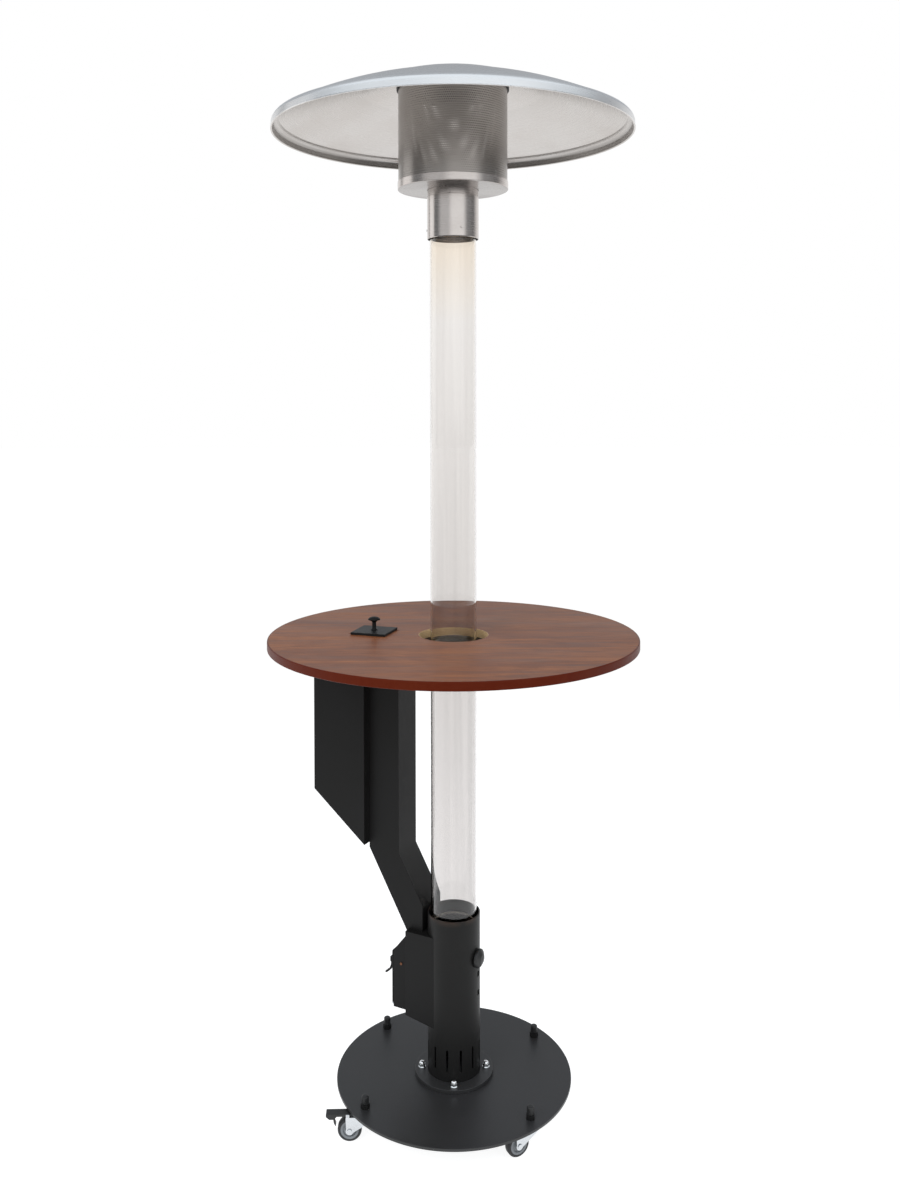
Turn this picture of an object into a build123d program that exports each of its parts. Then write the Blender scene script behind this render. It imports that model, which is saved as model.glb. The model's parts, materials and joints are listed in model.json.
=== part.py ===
"""Wood-pellet patio heater with a round table, built as separate pieces in millimetres.

The origin is on the floor, under the axis of the burner column; +Z is up.  The feed side (hopper, chute and
burner box) stands in a vertical plane turned FEED_ANGLE from +X, and is drawn in its own frame: x points
outward from the column axis, y to the left of that, z up.
"""
from build123d import *
from math import cos, radians, sin, sqrt, tan
import os

# ---------------------------------------------------------------- driving dimensions
PLATE_R, PLATE_T, PLATE_TOP = 255, 6, 66

COLUMN_R, COLUMN_WALL, COLUMN_TOP = 57, 3, 419
FLANGE_R, FLANGE_T, FLANGE_BOLT_R = 85, 8, 70
SLOT_COUNT, SLOT_W, SLOT_LOW, SLOT_HIGH = 12, 5, 94, 142

GLASS_R, GLASS_WALL, GLASS_BOTTOM, GLASS_LENGTH = 50, 3, 395, 1500

COLLAR_R, COLLAR_WALL, COLLAR_BOTTOM, COLLAR_TOP = 55.5, 1.5, 1879.5, 2010
PAN_R, PAN_BOTTOM, PAN_BAND = 119, 1985, 17
MESH_R, MESH_T, MESH_TOP = 117.4, 1, 2205
HEAD_RING_R, HEAD_RING_LOW, HEAD_RING_TOP, HEAD_PLATE = 121, 2198, 2207, 2

REFLECTOR_R, REFLECTOR_RIM, REFLECTOR_T = 388, 2104, 1.5
LIP_HEIGHT, LIP_LEAN, DOME_R, DOME_FOOT, DOME_TOP = 26, 19, 196, 91, 131

TABLE_R, TABLE_T, TABLE_TOP, TABLE_HOLE_R = 400, 18, 1025, 75
BRACKET_T = 3

FEED_ANGLE = 152
CHUTE_AXIS, CHUTE_SIDE, CHUTE_WALL = 155, 76, 2
KNEE_Z, CHUTE_SLOPE, CHUTE_FOOT_Z = 536, 30, 313
HOPPER_OUT, HOPPER_HALF, HOPPER_WALL = 327, 60, 2
HOPPER_LOW_IN, HOPPER_LOW_OUT = 547, 652

BOX_OUT, BOX_HALF, BOX_WALL = 92, 53, 3
BOX_TOP, BOX_LOW_OUT, BOX_LOW_IN = 375, 190, 178
NOSE_OUT, NOSE_HALF, NOSE_WALL = 130, 40, 2
NOSE_LOW, NOSE_SHOULDER, NOSE_TOP = 193, 319, 366
KNOB_Z = 328

LID_X, LID_Y, LID_SIDE, LID_PROUD, LID_TURN = -174, 24, 80, 5, -17
FILL_SIDE, REBATE, REBATE_GAP = 50, 0.5, 0.5

CASTOR_HALF_X, CASTOR_HALF_Y, CASTOR_TURN = 171, 146, -5.5
CASTOR_TRAILS = {"front_left": 182, "front_right": 208, "rear_left": 118, "rear_right": 235}
BRAKED = ("front_left", "rear_right")
WHEEL_R, WHEEL_W, WHEEL_TRAIL, HUB_R = 25, 17, 32, 19
AXLE_R = 3

RUN = 0.06    # radial clearance of a shaft that turns in a hole
GAP = 0.4     # clearance between pieces that move past each other
THROUGH = 100  # length of a cut that goes right through a piece

# ---------------------------------------------------------------- derived places
PLATE_LOW = PLATE_TOP - PLATE_T
TABLE_LOW = TABLE_TOP - TABLE_T
BRACKET_LOW = TABLE_LOW - BRACKET_T
GLASS_TOP = GLASS_BOTTOM + GLASS_LENGTH
CHUTE_OUT = CHUTE_AXIS + CHUTE_SIDE / 2
CHUTE_IN = CHUTE_AXIS - CHUTE_SIDE / 2
CHUTE_HALF = CHUTE_SIDE / 2

FEED_X = Vector(cos(radians(FEED_ANGLE)), sin(radians(FEED_ANGLE)), 0)
FEED_Y = Vector(-sin(radians(FEED_ANGLE)), cos(radians(FEED_ANGLE)), 0)
FEED_SIDE = Plane(origin=(0, 0, 0), x_dir=FEED_X, z_dir=-FEED_Y)    # drawn as (outward, up)


def feed_place(out, side, up):
    """A place in the feed frame, its x axis pointing outward."""
    spot = FEED_X * out + FEED_Y * side + Vector(0, 0, up)
    return Location(Plane(origin=spot, x_dir=FEED_X, z_dir=(0, 0, 1)))


def feed_end(out):
    """A vertical plane across the feed frame at this distance, drawn as (side, up), facing outward."""
    return Plane(origin=FEED_X * out, x_dir=FEED_Y, z_dir=FEED_X)


def radial_place(angle, radius, up):
    """A place at this angle and radius round the column axis, its x axis pointing outward."""
    direction = Vector(cos(radians(angle)), sin(radians(angle)), 0)
    return Location(Plane(origin=direction * radius + Vector(0, 0, up), x_dir=direction, z_dir=(0, 0, 1)))


def radial_plane(angle, radius, up):
    """A plane facing outward at this angle and radius, drawn as (sideways, up)."""
    direction = Vector(cos(radians(angle)), sin(radians(angle)), 0)
    sideways = Vector(-sin(radians(angle)), cos(radians(angle)), 0)
    return Plane(origin=direction * radius + Vector(0, 0, up), x_dir=sideways, z_dir=direction)


def save(name, label):
    """Label a finished piece and write it to its own file."""
    name.part.label = label
    export_step(name.part, f"parts/{label}.step")


def ring(radius, inner, low, high):
    """A plain ring between two heights, at the column axis."""
    with BuildPart() as piece:
        with BuildSketch(Plane.XY.offset(low)):
            Circle(radius)
            Circle(inner, mode=Mode.SUBTRACT)
        extrude(amount=high - low)
    return piece


os.makedirs("parts", exist_ok=True)

# ---------------------------------------------------------------- base plate and column foot
STUD_R = 5


def castor_spot(name):
    """Where a castor's stem stands, from its place in the rectangle of castors."""
    across = CASTOR_HALF_X if name.endswith("right") else -CASTOR_HALF_X
    deep = CASTOR_HALF_Y if name.startswith("rear") else -CASTOR_HALF_Y
    return Vector(across, deep, 0).rotate(Axis.Z, CASTOR_TURN)


CASTOR_SPOTS = {name: castor_spot(name) for name in CASTOR_TRAILS}
BOLT_R = 4

with BuildPart() as base_plate:
    with BuildSketch(Plane.XY.offset(PLATE_LOW)):
        Circle(PLATE_R)
    extrude(amount=PLATE_T)
    chamfer(base_plate.edges().filter_by(GeomType.CIRCLE), 0.8)
    with Locations([(spot.X, spot.Y, PLATE_TOP) for spot in CASTOR_SPOTS.values()]):
        Hole(STUD_R)
    with Locations((0, 0, PLATE_TOP)):
        with PolarLocations(FLANGE_BOLT_R, 4):
            Hole(BOLT_R)
save(base_plate, "base_plate")

with BuildPart() as column_flange:
    with BuildSketch(Plane.XY.offset(PLATE_TOP)):
        Circle(FLANGE_R)
        Circle(COLUMN_R, mode=Mode.SUBTRACT)
    extrude(amount=FLANGE_T)
    chamfer(column_flange.faces().sort_by(Axis.Z)[-1].edges().sort_by(SortBy.RADIUS)[-1], 1)
    with Locations((0, 0, PLATE_TOP + FLANGE_T)):
        with PolarLocations(FLANGE_BOLT_R, 4):
            Hole(BOLT_R)
save(column_flange, "column_flange")

FLANGE_TOP = PLATE_TOP + FLANGE_T
BOLT_HEAD_R, BOLT_HEAD_H, BOLT_REACH = 7.5, 5, 7
with BuildPart() as flange_bolts:
    with BuildSketch(Plane.XY.offset(PLATE_LOW - BOLT_HEAD_H)):
        with PolarLocations(FLANGE_BOLT_R, 4):
            RegularPolygon(BOLT_HEAD_R, 6)
    extrude(amount=BOLT_HEAD_H)
    with BuildSketch(Plane.XY.offset(PLATE_LOW)):
        with PolarLocations(FLANGE_BOLT_R, 4):
            Circle(BOLT_R)
    extrude(amount=FLANGE_TOP + BOLT_REACH - PLATE_LOW)
save(flange_bolts, "flange_bolts")

CAP_NUT_R, CAP_NUT_HEX, CAP_NUT_H, CAP_DOME_R = 7.2, 6, 13, 6
with BuildPart() as cap_nut:
    with BuildSketch(Plane.XY.offset(FLANGE_TOP)):
        Circle(CAP_NUT_R + 1)
    extrude(amount=1.5)
    with BuildSketch(Plane.XY.offset(FLANGE_TOP + 1.5)):
        RegularPolygon(CAP_NUT_R, 6)
    extrude(amount=CAP_NUT_HEX)
    with BuildSketch(Plane.XY.offset(FLANGE_TOP + 1.5 + CAP_NUT_HEX)):
        Circle(CAP_DOME_R)
    extrude(amount=CAP_NUT_H - 1.5 - CAP_NUT_HEX)
    fillet(cap_nut.faces().sort_by(Axis.Z)[-1].edges(), 5)
    with BuildSketch(Plane.XY.offset(FLANGE_TOP)):
        Circle(BOLT_R)
    extrude(amount=BOLT_REACH, mode=Mode.SUBTRACT)

with BuildPart() as cap_nuts:
    with PolarLocations(FLANGE_BOLT_R, 4):
        add(cap_nut.part)
save(cap_nuts, "flange_cap_nuts")

# ---------------------------------------------------------------- burner column
WINDOW_HALF, WINDOW_LOW, WINDOW_HIGH = 38, 205, 368
KNOB_ANGLE = FEED_ANGLE + 180
BUSH_R, PORT_W, PORT_H = 8, 9, 12
PORT_SIDE, PORT_DROPS = 6, (37, 78)

with BuildPart() as burner_column:
    with BuildSketch(Plane.XY.offset(PLATE_TOP)):
        Circle(COLUMN_R)
        Circle(COLUMN_R - COLUMN_WALL, mode=Mode.SUBTRACT)
    extrude(amount=COLUMN_TOP - PLATE_TOP)
    for index in range(SLOT_COUNT):
        slot_angle = (index + 0.5) * 360 / SLOT_COUNT
        with BuildSketch(radial_plane(slot_angle, COLUMN_R + 2, (SLOT_LOW + SLOT_HIGH) / 2)):
            SlotOverall(SLOT_HIGH - SLOT_LOW, SLOT_W, rotation=90)
        extrude(amount=-COLUMN_WALL - 6, mode=Mode.SUBTRACT)
    with BuildSketch(feed_end(COLUMN_R + 2)):
        with Locations((0, (WINDOW_LOW + WINDOW_HIGH) / 2)):
            Rectangle(2 * WINDOW_HALF, WINDOW_HIGH - WINDOW_LOW)
    extrude(amount=-COLUMN_R + 10, mode=Mode.SUBTRACT)
    with BuildSketch(radial_plane(KNOB_ANGLE, COLUMN_R + 2, KNOB_Z)):
        Circle(BUSH_R)
        with Locations(*[(PORT_SIDE, -drop) for drop in PORT_DROPS]):
            Rectangle(PORT_W, PORT_H)
    extrude(amount=-COLUMN_WALL - 6, mode=Mode.SUBTRACT)
save(burner_column, "burner_column")

# ---------------------------------------------------------------- burner box with its nose
CHUTE_DX = tan(radians(CHUTE_SLOPE))


def chute_profile(inset):
    """Outline of the sloped part of the chute as (outward, up); its inner side ends upright at the column."""
    shift = inset / cos(radians(CHUTE_SLOPE))
    foot = COLUMN_R + GAP + inset
    low = CHUTE_FOOT_Z
    return [
        (CHUTE_OUT - inset, KNEE_Z),
        (CHUTE_OUT - shift - (KNEE_Z - low) * CHUTE_DX, low),
        (foot, low),
        (foot, KNEE_Z - (CHUTE_IN + shift - foot) / CHUTE_DX),
        (CHUTE_IN + inset, KNEE_Z),
    ]


BOX_IN = 20


def box_outline():
    """Outline of the burner box as (outward, up)."""
    return [(BOX_IN, BOX_LOW_IN), (BOX_OUT, BOX_LOW_OUT), (BOX_OUT, BOX_TOP), (BOX_IN, BOX_TOP)]


def nose_outline():
    """Outline of the nose, the narrower part that carries the door, as (outward, up)."""
    return [(BOX_IN + 20, NOSE_LOW), (NOSE_OUT, NOSE_LOW), (NOSE_OUT, NOSE_SHOULDER),
            (BOX_OUT, NOSE_TOP), (BOX_IN + 20, NOSE_TOP)]


with BuildPart() as burner_box:
    with BuildSketch(FEED_SIDE):
        with BuildLine():
            Polyline(*box_outline(), close=True)
        make_face()
    extrude(amount=BOX_HALF, both=True)
    with BuildSketch(FEED_SIDE):
        with BuildLine():
            Polyline(*nose_outline(), close=True)
        make_face()
    extrude(amount=NOSE_HALF, both=True)
    with BuildSketch(FEED_SIDE):
        with BuildLine():
            Polyline(*box_outline(), close=True)
        make_face()
        offset(amount=-BOX_WALL)
    extrude(amount=BOX_HALF - BOX_WALL, both=True, mode=Mode.SUBTRACT)
    with BuildSketch(FEED_SIDE):
        with BuildLine():
            Polyline((BOX_IN + 22, NOSE_LOW + NOSE_WALL), (NOSE_OUT + 1, NOSE_LOW + NOSE_WALL),
                     (NOSE_OUT + 1, NOSE_SHOULDER - NOSE_WALL), (NOSE_OUT, NOSE_SHOULDER - NOSE_WALL),
                     (BOX_OUT, NOSE_TOP - NOSE_WALL), (BOX_IN + 22, NOSE_TOP - NOSE_WALL), close=True)
        make_face()
    extrude(amount=NOSE_HALF - NOSE_WALL, both=True, mode=Mode.SUBTRACT)
    with BuildSketch(FEED_SIDE):
        with BuildLine():
            Polyline(*chute_profile(CHUTE_WALL), close=True)
        make_face()
    extrude(amount=CHUTE_HALF - CHUTE_WALL, both=True, mode=Mode.SUBTRACT)
    with Locations((0, 0, (BOX_LOW_IN + BOX_TOP) / 2)):
        Cylinder(COLUMN_R, BOX_TOP - BOX_LOW_IN + 20, mode=Mode.SUBTRACT)
save(burner_box, "burner_box")

DOOR_T, DOOR_HALF = 3, NOSE_HALF
DOOR_IN = NOSE_OUT + GAP
DOOR_LOW, DOOR_HIGH = NOSE_LOW + 8, NOSE_SHOULDER - 1
HINGE_OUT, HINGE_Z, HINGE_PIN_R, HINGE_R = NOSE_OUT + 4.4, NOSE_LOW + 4, 1.5, 3.4
DOOR_MID = (DOOR_LOW + DOOR_HIGH) / 2
LATCH_SIDE, HOOK_SLOT_W, HOOK_SLOT_LOW, HOOK_SLOT_HIGH = 18, 9, 284, 302

KNUCKLE_MID, KNUCKLE_END = 19.6, 34

with BuildPart() as lighting_door:
    with Locations(feed_place(DOOR_IN + DOOR_T / 2, 0, DOOR_MID)):
        Box(DOOR_T, 2 * DOOR_HALF, DOOR_HIGH - DOOR_LOW)
    fillet(lighting_door.edges().filter_by(lambda edge: abs(edge.length - DOOR_T) < 0.01), 3)
    with Locations(feed_place(DOOR_IN, LATCH_SIDE, (HOOK_SLOT_LOW + HOOK_SLOT_HIGH) / 2)):
        Box(3 * DOOR_T, HOOK_SLOT_W, HOOK_SLOT_HIGH - HOOK_SLOT_LOW, mode=Mode.SUBTRACT)
    with BuildSketch(FEED_SIDE):
        with Locations((HINGE_OUT, HINGE_Z)):
            Circle(HINGE_R)
    extrude(amount=KNUCKLE_MID, both=True)
    with Locations(feed_place(HINGE_OUT - 1.5, 0, DOOR_LOW)):
        Box(2.4, KNUCKLE_MID * 2, 5)
    with BuildSketch(FEED_SIDE):
        with Locations((HINGE_OUT, HINGE_Z)):
            Circle(HINGE_PIN_R + RUN)
    extrude(amount=THROUGH, both=True, mode=Mode.SUBTRACT)
save(lighting_door, "lighting_door")

with BuildPart() as door_hinge:
    with BuildSketch(FEED_SIDE):
        with Locations((HINGE_OUT, HINGE_Z)):
            Circle(HINGE_R)
    extrude(amount=KNUCKLE_END, both=True)
    with Locations(feed_place(NOSE_OUT + 1.2, 0, HINGE_Z - 0.5)):
        Box(2.4, 2 * KNUCKLE_END, 5)
    with Locations(feed_place(HINGE_OUT, 0, HINGE_Z)):
        Box(20, 2 * (KNUCKLE_MID + GAP), 20, mode=Mode.SUBTRACT)
    with BuildSketch(FEED_SIDE):
        with Locations((HINGE_OUT, HINGE_Z)):
            Circle(HINGE_PIN_R)
    extrude(amount=THROUGH, both=True, mode=Mode.SUBTRACT)
save(door_hinge, "door_hinge")

with BuildPart() as door_hinge_pin:
    with BuildSketch(FEED_SIDE):
        with Locations((HINGE_OUT, HINGE_Z)):
            Circle(HINGE_PIN_R)
    extrude(amount=KNUCKLE_END + 2, both=True)
save(door_hinge_pin, "door_hinge_pin")

# Lever latch on the door: its hook reaches through a slot in the door and drops behind a keeper in the nose.
LATCH_HALF = 9
LATCH_FACE = DOOR_IN + DOOR_T
LATCH_LOW, LATCH_HIGH = 274, 306
LATCH_PIN_OUT, LATCH_PIN_Z, LATCH_PIN_R = LATCH_FACE + 9, 290, 2
LATCH_PLANE = FEED_SIDE.offset(-LATCH_SIDE)

with BuildPart() as latch_base:
    with BuildSketch(LATCH_PLANE):
        with BuildLine():
            Polyline((LATCH_FACE, LATCH_LOW), (LATCH_FACE, LATCH_HIGH), (LATCH_FACE + 2, LATCH_HIGH),
                     (LATCH_FACE + 13, LATCH_PIN_Z + 5), (LATCH_FACE + 13, LATCH_PIN_Z - 5),
                     (LATCH_FACE + 2, LATCH_LOW), close=True)
        make_face()
    extrude(amount=LATCH_HALF, both=True)
    with Locations(feed_place(LATCH_FACE + 12, LATCH_SIDE, (LATCH_LOW + LATCH_HIGH) / 2)):
        Box(20, 2 * LATCH_HALF - 4, LATCH_HIGH - LATCH_LOW + 2, mode=Mode.SUBTRACT)
    with Locations(feed_place(LATCH_FACE, LATCH_SIDE, (HOOK_SLOT_LOW + HOOK_SLOT_HIGH) / 2)):
        Box(2 * DOOR_T, HOOK_SLOT_W, HOOK_SLOT_HIGH - HOOK_SLOT_LOW, mode=Mode.SUBTRACT)
    with BuildSketch(LATCH_PLANE):
        with Locations((LATCH_PIN_OUT, LATCH_PIN_Z)):
            Circle(LATCH_PIN_R)
    extrude(amount=LATCH_HALF + 1, both=True, mode=Mode.SUBTRACT)
save(latch_base, "latch_base")

with BuildPart() as latch_pin:
    with BuildSketch(LATCH_PLANE):
        with Locations((LATCH_PIN_OUT, LATCH_PIN_Z)):
            Circle(LATCH_PIN_R)
    extrude(amount=LATCH_HALF + 0.6, both=True)
save(latch_pin, "latch_pin")

LEVER_HALF = LATCH_HALF - 2 - GAP
HOOK_OUT, HOOK_LOW, KEEPER_TOP = 117, 281, 285
with BuildPart() as latch_lever:
    with BuildSketch(LATCH_PLANE):
        with Locations((LATCH_PIN_OUT, LATCH_PIN_Z)):
            Circle(5)
        with BuildLine():
            Line((LATCH_PIN_OUT - 3, LATCH_PIN_Z - 2), (LATCH_PIN_OUT + 4, LATCH_PIN_Z - 2))
            ThreePointArc((LATCH_PIN_OUT + 4, LATCH_PIN_Z - 2), (LATCH_PIN_OUT + 6, LATCH_PIN_Z - 20),
                          (LATCH_PIN_OUT + 19, LATCH_PIN_Z - 33))
            Line((LATCH_PIN_OUT + 19, LATCH_PIN_Z - 33), (LATCH_PIN_OUT + 17, LATCH_PIN_Z - 36))
            ThreePointArc((LATCH_PIN_OUT + 17, LATCH_PIN_Z - 36), (LATCH_PIN_OUT + 2, LATCH_PIN_Z - 22),
                          (LATCH_PIN_OUT - 3, LATCH_PIN_Z - 2))
        make_face()
    extrude(amount=LEVER_HALF, both=True)
    with BuildSketch(LATCH_PLANE):
        with BuildLine():
            Polyline((LATCH_PIN_OUT, LATCH_PIN_Z + 4.4), (HOOK_OUT, LATCH_PIN_Z + 1), (HOOK_OUT, HOOK_LOW),
                     (HOOK_OUT + 4, HOOK_LOW), (HOOK_OUT + 4, KEEPER_TOP + GAP),
                     (LATCH_PIN_OUT, LATCH_PIN_Z - 4.4), close=True)
        make_face()
    extrude(amount=HOOK_SLOT_W / 2 - GAP, both=True)
    with BuildSketch(LATCH_PLANE):
        with Locations((LATCH_PIN_OUT, LATCH_PIN_Z)):
            Circle(LATCH_PIN_R + RUN)
    extrude(amount=LATCH_HALF, both=True, mode=Mode.SUBTRACT)
save(latch_lever, "latch_lever")

KEEPER_OUT, KEEPER_T, KEEPER_H = HOOK_OUT + 4 + GAP, 3, 20
KEEPER_SIDE, KEEPER_INNER = NOSE_HALF - NOSE_WALL, LATCH_SIDE - 6
with BuildPart() as latch_keeper:
    with Locations(feed_place(KEEPER_OUT + KEEPER_T / 2, (KEEPER_SIDE + KEEPER_INNER) / 2,
                              KEEPER_TOP - KEEPER_H / 2)):
        Box(KEEPER_T, KEEPER_SIDE - KEEPER_INNER, KEEPER_H)
save(latch_keeper, "latch_keeper")

RIVET_OUT, RIVET_Z, RIVET_R = 110, 293, 3
with BuildPart() as box_rivets:
    for side in (1, -1):
        place = FEED_SIDE.offset(-side * NOSE_HALF)
        with BuildSketch(place):
            with Locations((RIVET_OUT, RIVET_Z)):
                Circle(RIVET_R)
        extrude(amount=-side * 1.6)
save(box_rivets, "box_rivets")

# ---------------------------------------------------------------- inside the burner column
POT_R, POT_TOP, POT_LOW, POT_WALL = 50, 296, 236, 2
with BuildPart() as burner_pot:
    with BuildSketch(Plane.XY.offset(POT_LOW)):
        Circle(POT_R)
        Circle(POT_R - POT_WALL, mode=Mode.SUBTRACT)
    extrude(amount=POT_TOP - POT_LOW)
    with BuildSketch(Plane.XY.offset(POT_LOW - 3)):
        Circle(COLUMN_R - COLUMN_WALL)
        Circle(POT_R - POT_WALL - 4, mode=Mode.SUBTRACT)
    extrude(amount=3)
    with BuildSketch(feed_end(POT_R + 2)):
        with Locations((0, POT_LOW + 45)):
            Rectangle(2 * 32, 50)
    extrude(amount=-24, mode=Mode.SUBTRACT)
    with Locations((0, 0, POT_LOW + 12)):
        with PolarLocations(POT_R, 12, start_angle=15):
            Cylinder(3, 12, rotation=(0, 90, 0), mode=Mode.SUBTRACT)
save(burner_pot, "burner_pot")

GRATE_R = POT_R - POT_WALL
with BuildPart() as grate:
    with BuildSketch(Plane.XY.offset(POT_LOW)):
        Circle(GRATE_R)
        with Locations(*[(0, across) for across in range(-36, 37, 12)]):
            SlotOverall(2 * sqrt(GRATE_R ** 2 - 40 ** 2), 5, mode=Mode.SUBTRACT)
    extrude(amount=4)
save(grate, "grate")

BUSH_BORE = 3.5
with BuildPart() as spindle_bush:
    with BuildSketch(radial_plane(KNOB_ANGLE, COLUMN_R - COLUMN_WALL - 3, KNOB_Z)):
        Circle(BUSH_R)
    extrude(amount=COLUMN_WALL + 3 + 1.5)
    with BuildSketch(radial_plane(KNOB_ANGLE, COLUMN_R, KNOB_Z)):
        Circle(BUSH_R + 2.5)
    extrude(amount=1.5)
    with BuildSketch(radial_plane(KNOB_ANGLE, 0, KNOB_Z)):
        Circle(BUSH_BORE + RUN)
    extrude(amount=THROUGH, mode=Mode.SUBTRACT)
save(spindle_bush, "spindle_bush")

KNOB_IN = COLUMN_R + 1.5 + GAP
STIR_R, STIR_DROP = 2.5, 40
with BuildPart() as stirrer_spindle:
    with BuildSketch(radial_plane(KNOB_ANGLE, 30, KNOB_Z)):
        Circle(BUSH_BORE)
    extrude(amount=KNOB_IN + 10 - 30)
    with BuildSketch(radial_plane(KNOB_ANGLE, 30, KNOB_Z)):
        Circle(6)
    extrude(amount=4)
    with Locations(radial_place(KNOB_ANGLE, 32, KNOB_Z - STIR_DROP / 2)):
        Cylinder(STIR_R, STIR_DROP)
    with BuildSketch(radial_plane(KNOB_ANGLE, -20, KNOB_Z - STIR_DROP)):
        Circle(STIR_R)
    extrude(amount=52 + STIR_R)
save(stirrer_spindle, "stirrer_spindle")

KNOB_R, KNOB_DISC, GRIP_W, GRIP_OUT = 20, 5, 9, 14
with BuildPart() as stirrer_knob:
    with BuildSketch(radial_plane(KNOB_ANGLE, KNOB_IN, KNOB_Z)):
        Circle(KNOB_R)
    extrude(amount=KNOB_DISC)
    chamfer(stirrer_knob.faces().sort_by(Axis(origin=(0, 0, 0), direction=-FEED_X))[-1].edges(), 1.2)
    with BuildSketch(radial_plane(KNOB_ANGLE, KNOB_IN + KNOB_DISC, KNOB_Z)):
        SlotOverall(2 * KNOB_R - 5, GRIP_W, rotation=90)
    extrude(amount=GRIP_OUT - KNOB_DISC, taper=6)
    with BuildSketch(radial_plane(KNOB_ANGLE, KNOB_IN, KNOB_Z)):
        Circle(BUSH_BORE)
    extrude(amount=10, mode=Mode.SUBTRACT)
save(stirrer_knob, "stirrer_knob")

SEAT_T, GASKET_T = 4, 2
save(ring(COLUMN_R - COLUMN_WALL, GLASS_R - 7, GLASS_BOTTOM - GASKET_T - SEAT_T, GLASS_BOTTOM - GASKET_T),
     "glass_seat")
with BuildPart() as glass_gaskets:
    for low in (GLASS_BOTTOM - GASKET_T, GLASS_TOP):
        with BuildSketch(Plane.XY.offset(low)):
            Circle(GLASS_R)
            Circle(GLASS_R - GLASS_WALL - 1, mode=Mode.SUBTRACT)
        extrude(amount=GASKET_T)
save(glass_gaskets, "glass_gaskets")
save(ring(GLASS_R, GLASS_R - GLASS_WALL, GLASS_BOTTOM, GLASS_TOP), "glass_tube")

# ---------------------------------------------------------------- head: collar, emitter and reflector
STOP_T = 6
COLLAR_IN = COLLAR_R - COLLAR_WALL
STOP_LOW = GLASS_TOP + GASKET_T
save(ring(COLLAR_R, COLLAR_IN, COLLAR_BOTTOM, COLLAR_TOP), "glass_collar")
save(ring(COLLAR_IN, GLASS_R - 6, STOP_LOW, STOP_LOW + STOP_T), "collar_stop_ring")

SCREW_R, SCREW_T = 3, 1.8
SCREW_ROWS = ((PAN_BOTTOM - 11, -98), (STOP_LOW + STOP_T / 2, -70))
with BuildPart() as collar_screws:
    for height, first in SCREW_ROWS:
        for index in range(3):
            with BuildSketch(radial_plane(first + index * 120, COLLAR_R, height)):
                Circle(SCREW_R)
            extrude(amount=SCREW_T)
save(collar_screws, "collar_screws")

PAN_T = 1.5
with BuildPart() as emitter_pan:
    with BuildSketch(Plane.XY.offset(PAN_BOTTOM)):
        Circle(PAN_R)
    extrude(amount=PAN_BAND)
    fillet(emitter_pan.edges().group_by(Axis.Z)[0], 2)
    with BuildSketch(Plane.XY.offset(PAN_BOTTOM + PAN_T)):
        Circle(MESH_R)
    extrude(amount=PAN_BAND, mode=Mode.SUBTRACT)
    with BuildSketch(Plane.XY.offset(PAN_BOTTOM)):
        Circle(COLLAR_R)
    extrude(amount=PAN_BAND, mode=Mode.SUBTRACT)
save(emitter_pan, "emitter_pan")

save(ring(MESH_R, MESH_R - MESH_T, PAN_BOTTOM + PAN_T, MESH_TOP), "emitter_mesh")

STUD_PITCH, REFLECTOR_STUD_R, STUD_COUNT = 80, 3, 4
with BuildPart() as emitter_top:
    with BuildSketch(Plane.XY.offset(HEAD_RING_LOW)):
        Circle(HEAD_RING_R)
    extrude(amount=HEAD_RING_TOP - HEAD_RING_LOW)
    with BuildSketch(Plane.XY.offset(HEAD_RING_LOW)):
        Circle(MESH_R)
    extrude(amount=HEAD_RING_TOP - HEAD_RING_LOW - HEAD_PLATE, mode=Mode.SUBTRACT)
    with Locations((0, 0, HEAD_RING_TOP)):
        with PolarLocations(STUD_PITCH, STUD_COUNT, start_angle=45):
            Hole(REFLECTOR_STUD_R)
save(emitter_top, "emitter_top")


DOME_BALL = (DOME_R ** 2 + (DOME_TOP - DOME_FOOT) ** 2) / (2 * (DOME_TOP - DOME_FOOT))


def dome_z(radius):
    """Height of the central dome's outer surface at this radius."""
    return REFLECTOR_RIM + DOME_TOP - DOME_BALL + sqrt(DOME_BALL ** 2 - radius ** 2)


BULGE = 5
SHOULDER_R, SHOULDER_Z = REFLECTOR_R - LIP_LEAN, REFLECTOR_RIM + LIP_HEIGHT
MID_R, MID_Z = (SHOULDER_R + DOME_R) / 2, REFLECTOR_RIM + (LIP_HEIGHT + DOME_FOOT) / 2 + BULGE
with BuildPart() as reflector:
    for inset, mode in ((0, Mode.ADD), (REFLECTOR_T, Mode.SUBTRACT)):
        with BuildSketch(Plane.XZ):
            with BuildLine():
                Polyline((0, REFLECTOR_RIM), (REFLECTOR_R - inset, REFLECTOR_RIM),
                         (SHOULDER_R - inset, SHOULDER_Z - inset))
                ThreePointArc((SHOULDER_R - inset, SHOULDER_Z - inset), (MID_R, MID_Z - inset),
                              (DOME_R, dome_z(DOME_R) - inset))
                ThreePointArc((DOME_R, dome_z(DOME_R) - inset), (DOME_R / 2, dome_z(DOME_R / 2) - inset),
                              (0, dome_z(0) - inset))
                Line((0, dome_z(0) - inset), (0, REFLECTOR_RIM))
            make_face()
        revolve(axis=Axis.Z, mode=mode)
save(reflector, "reflector")

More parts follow.
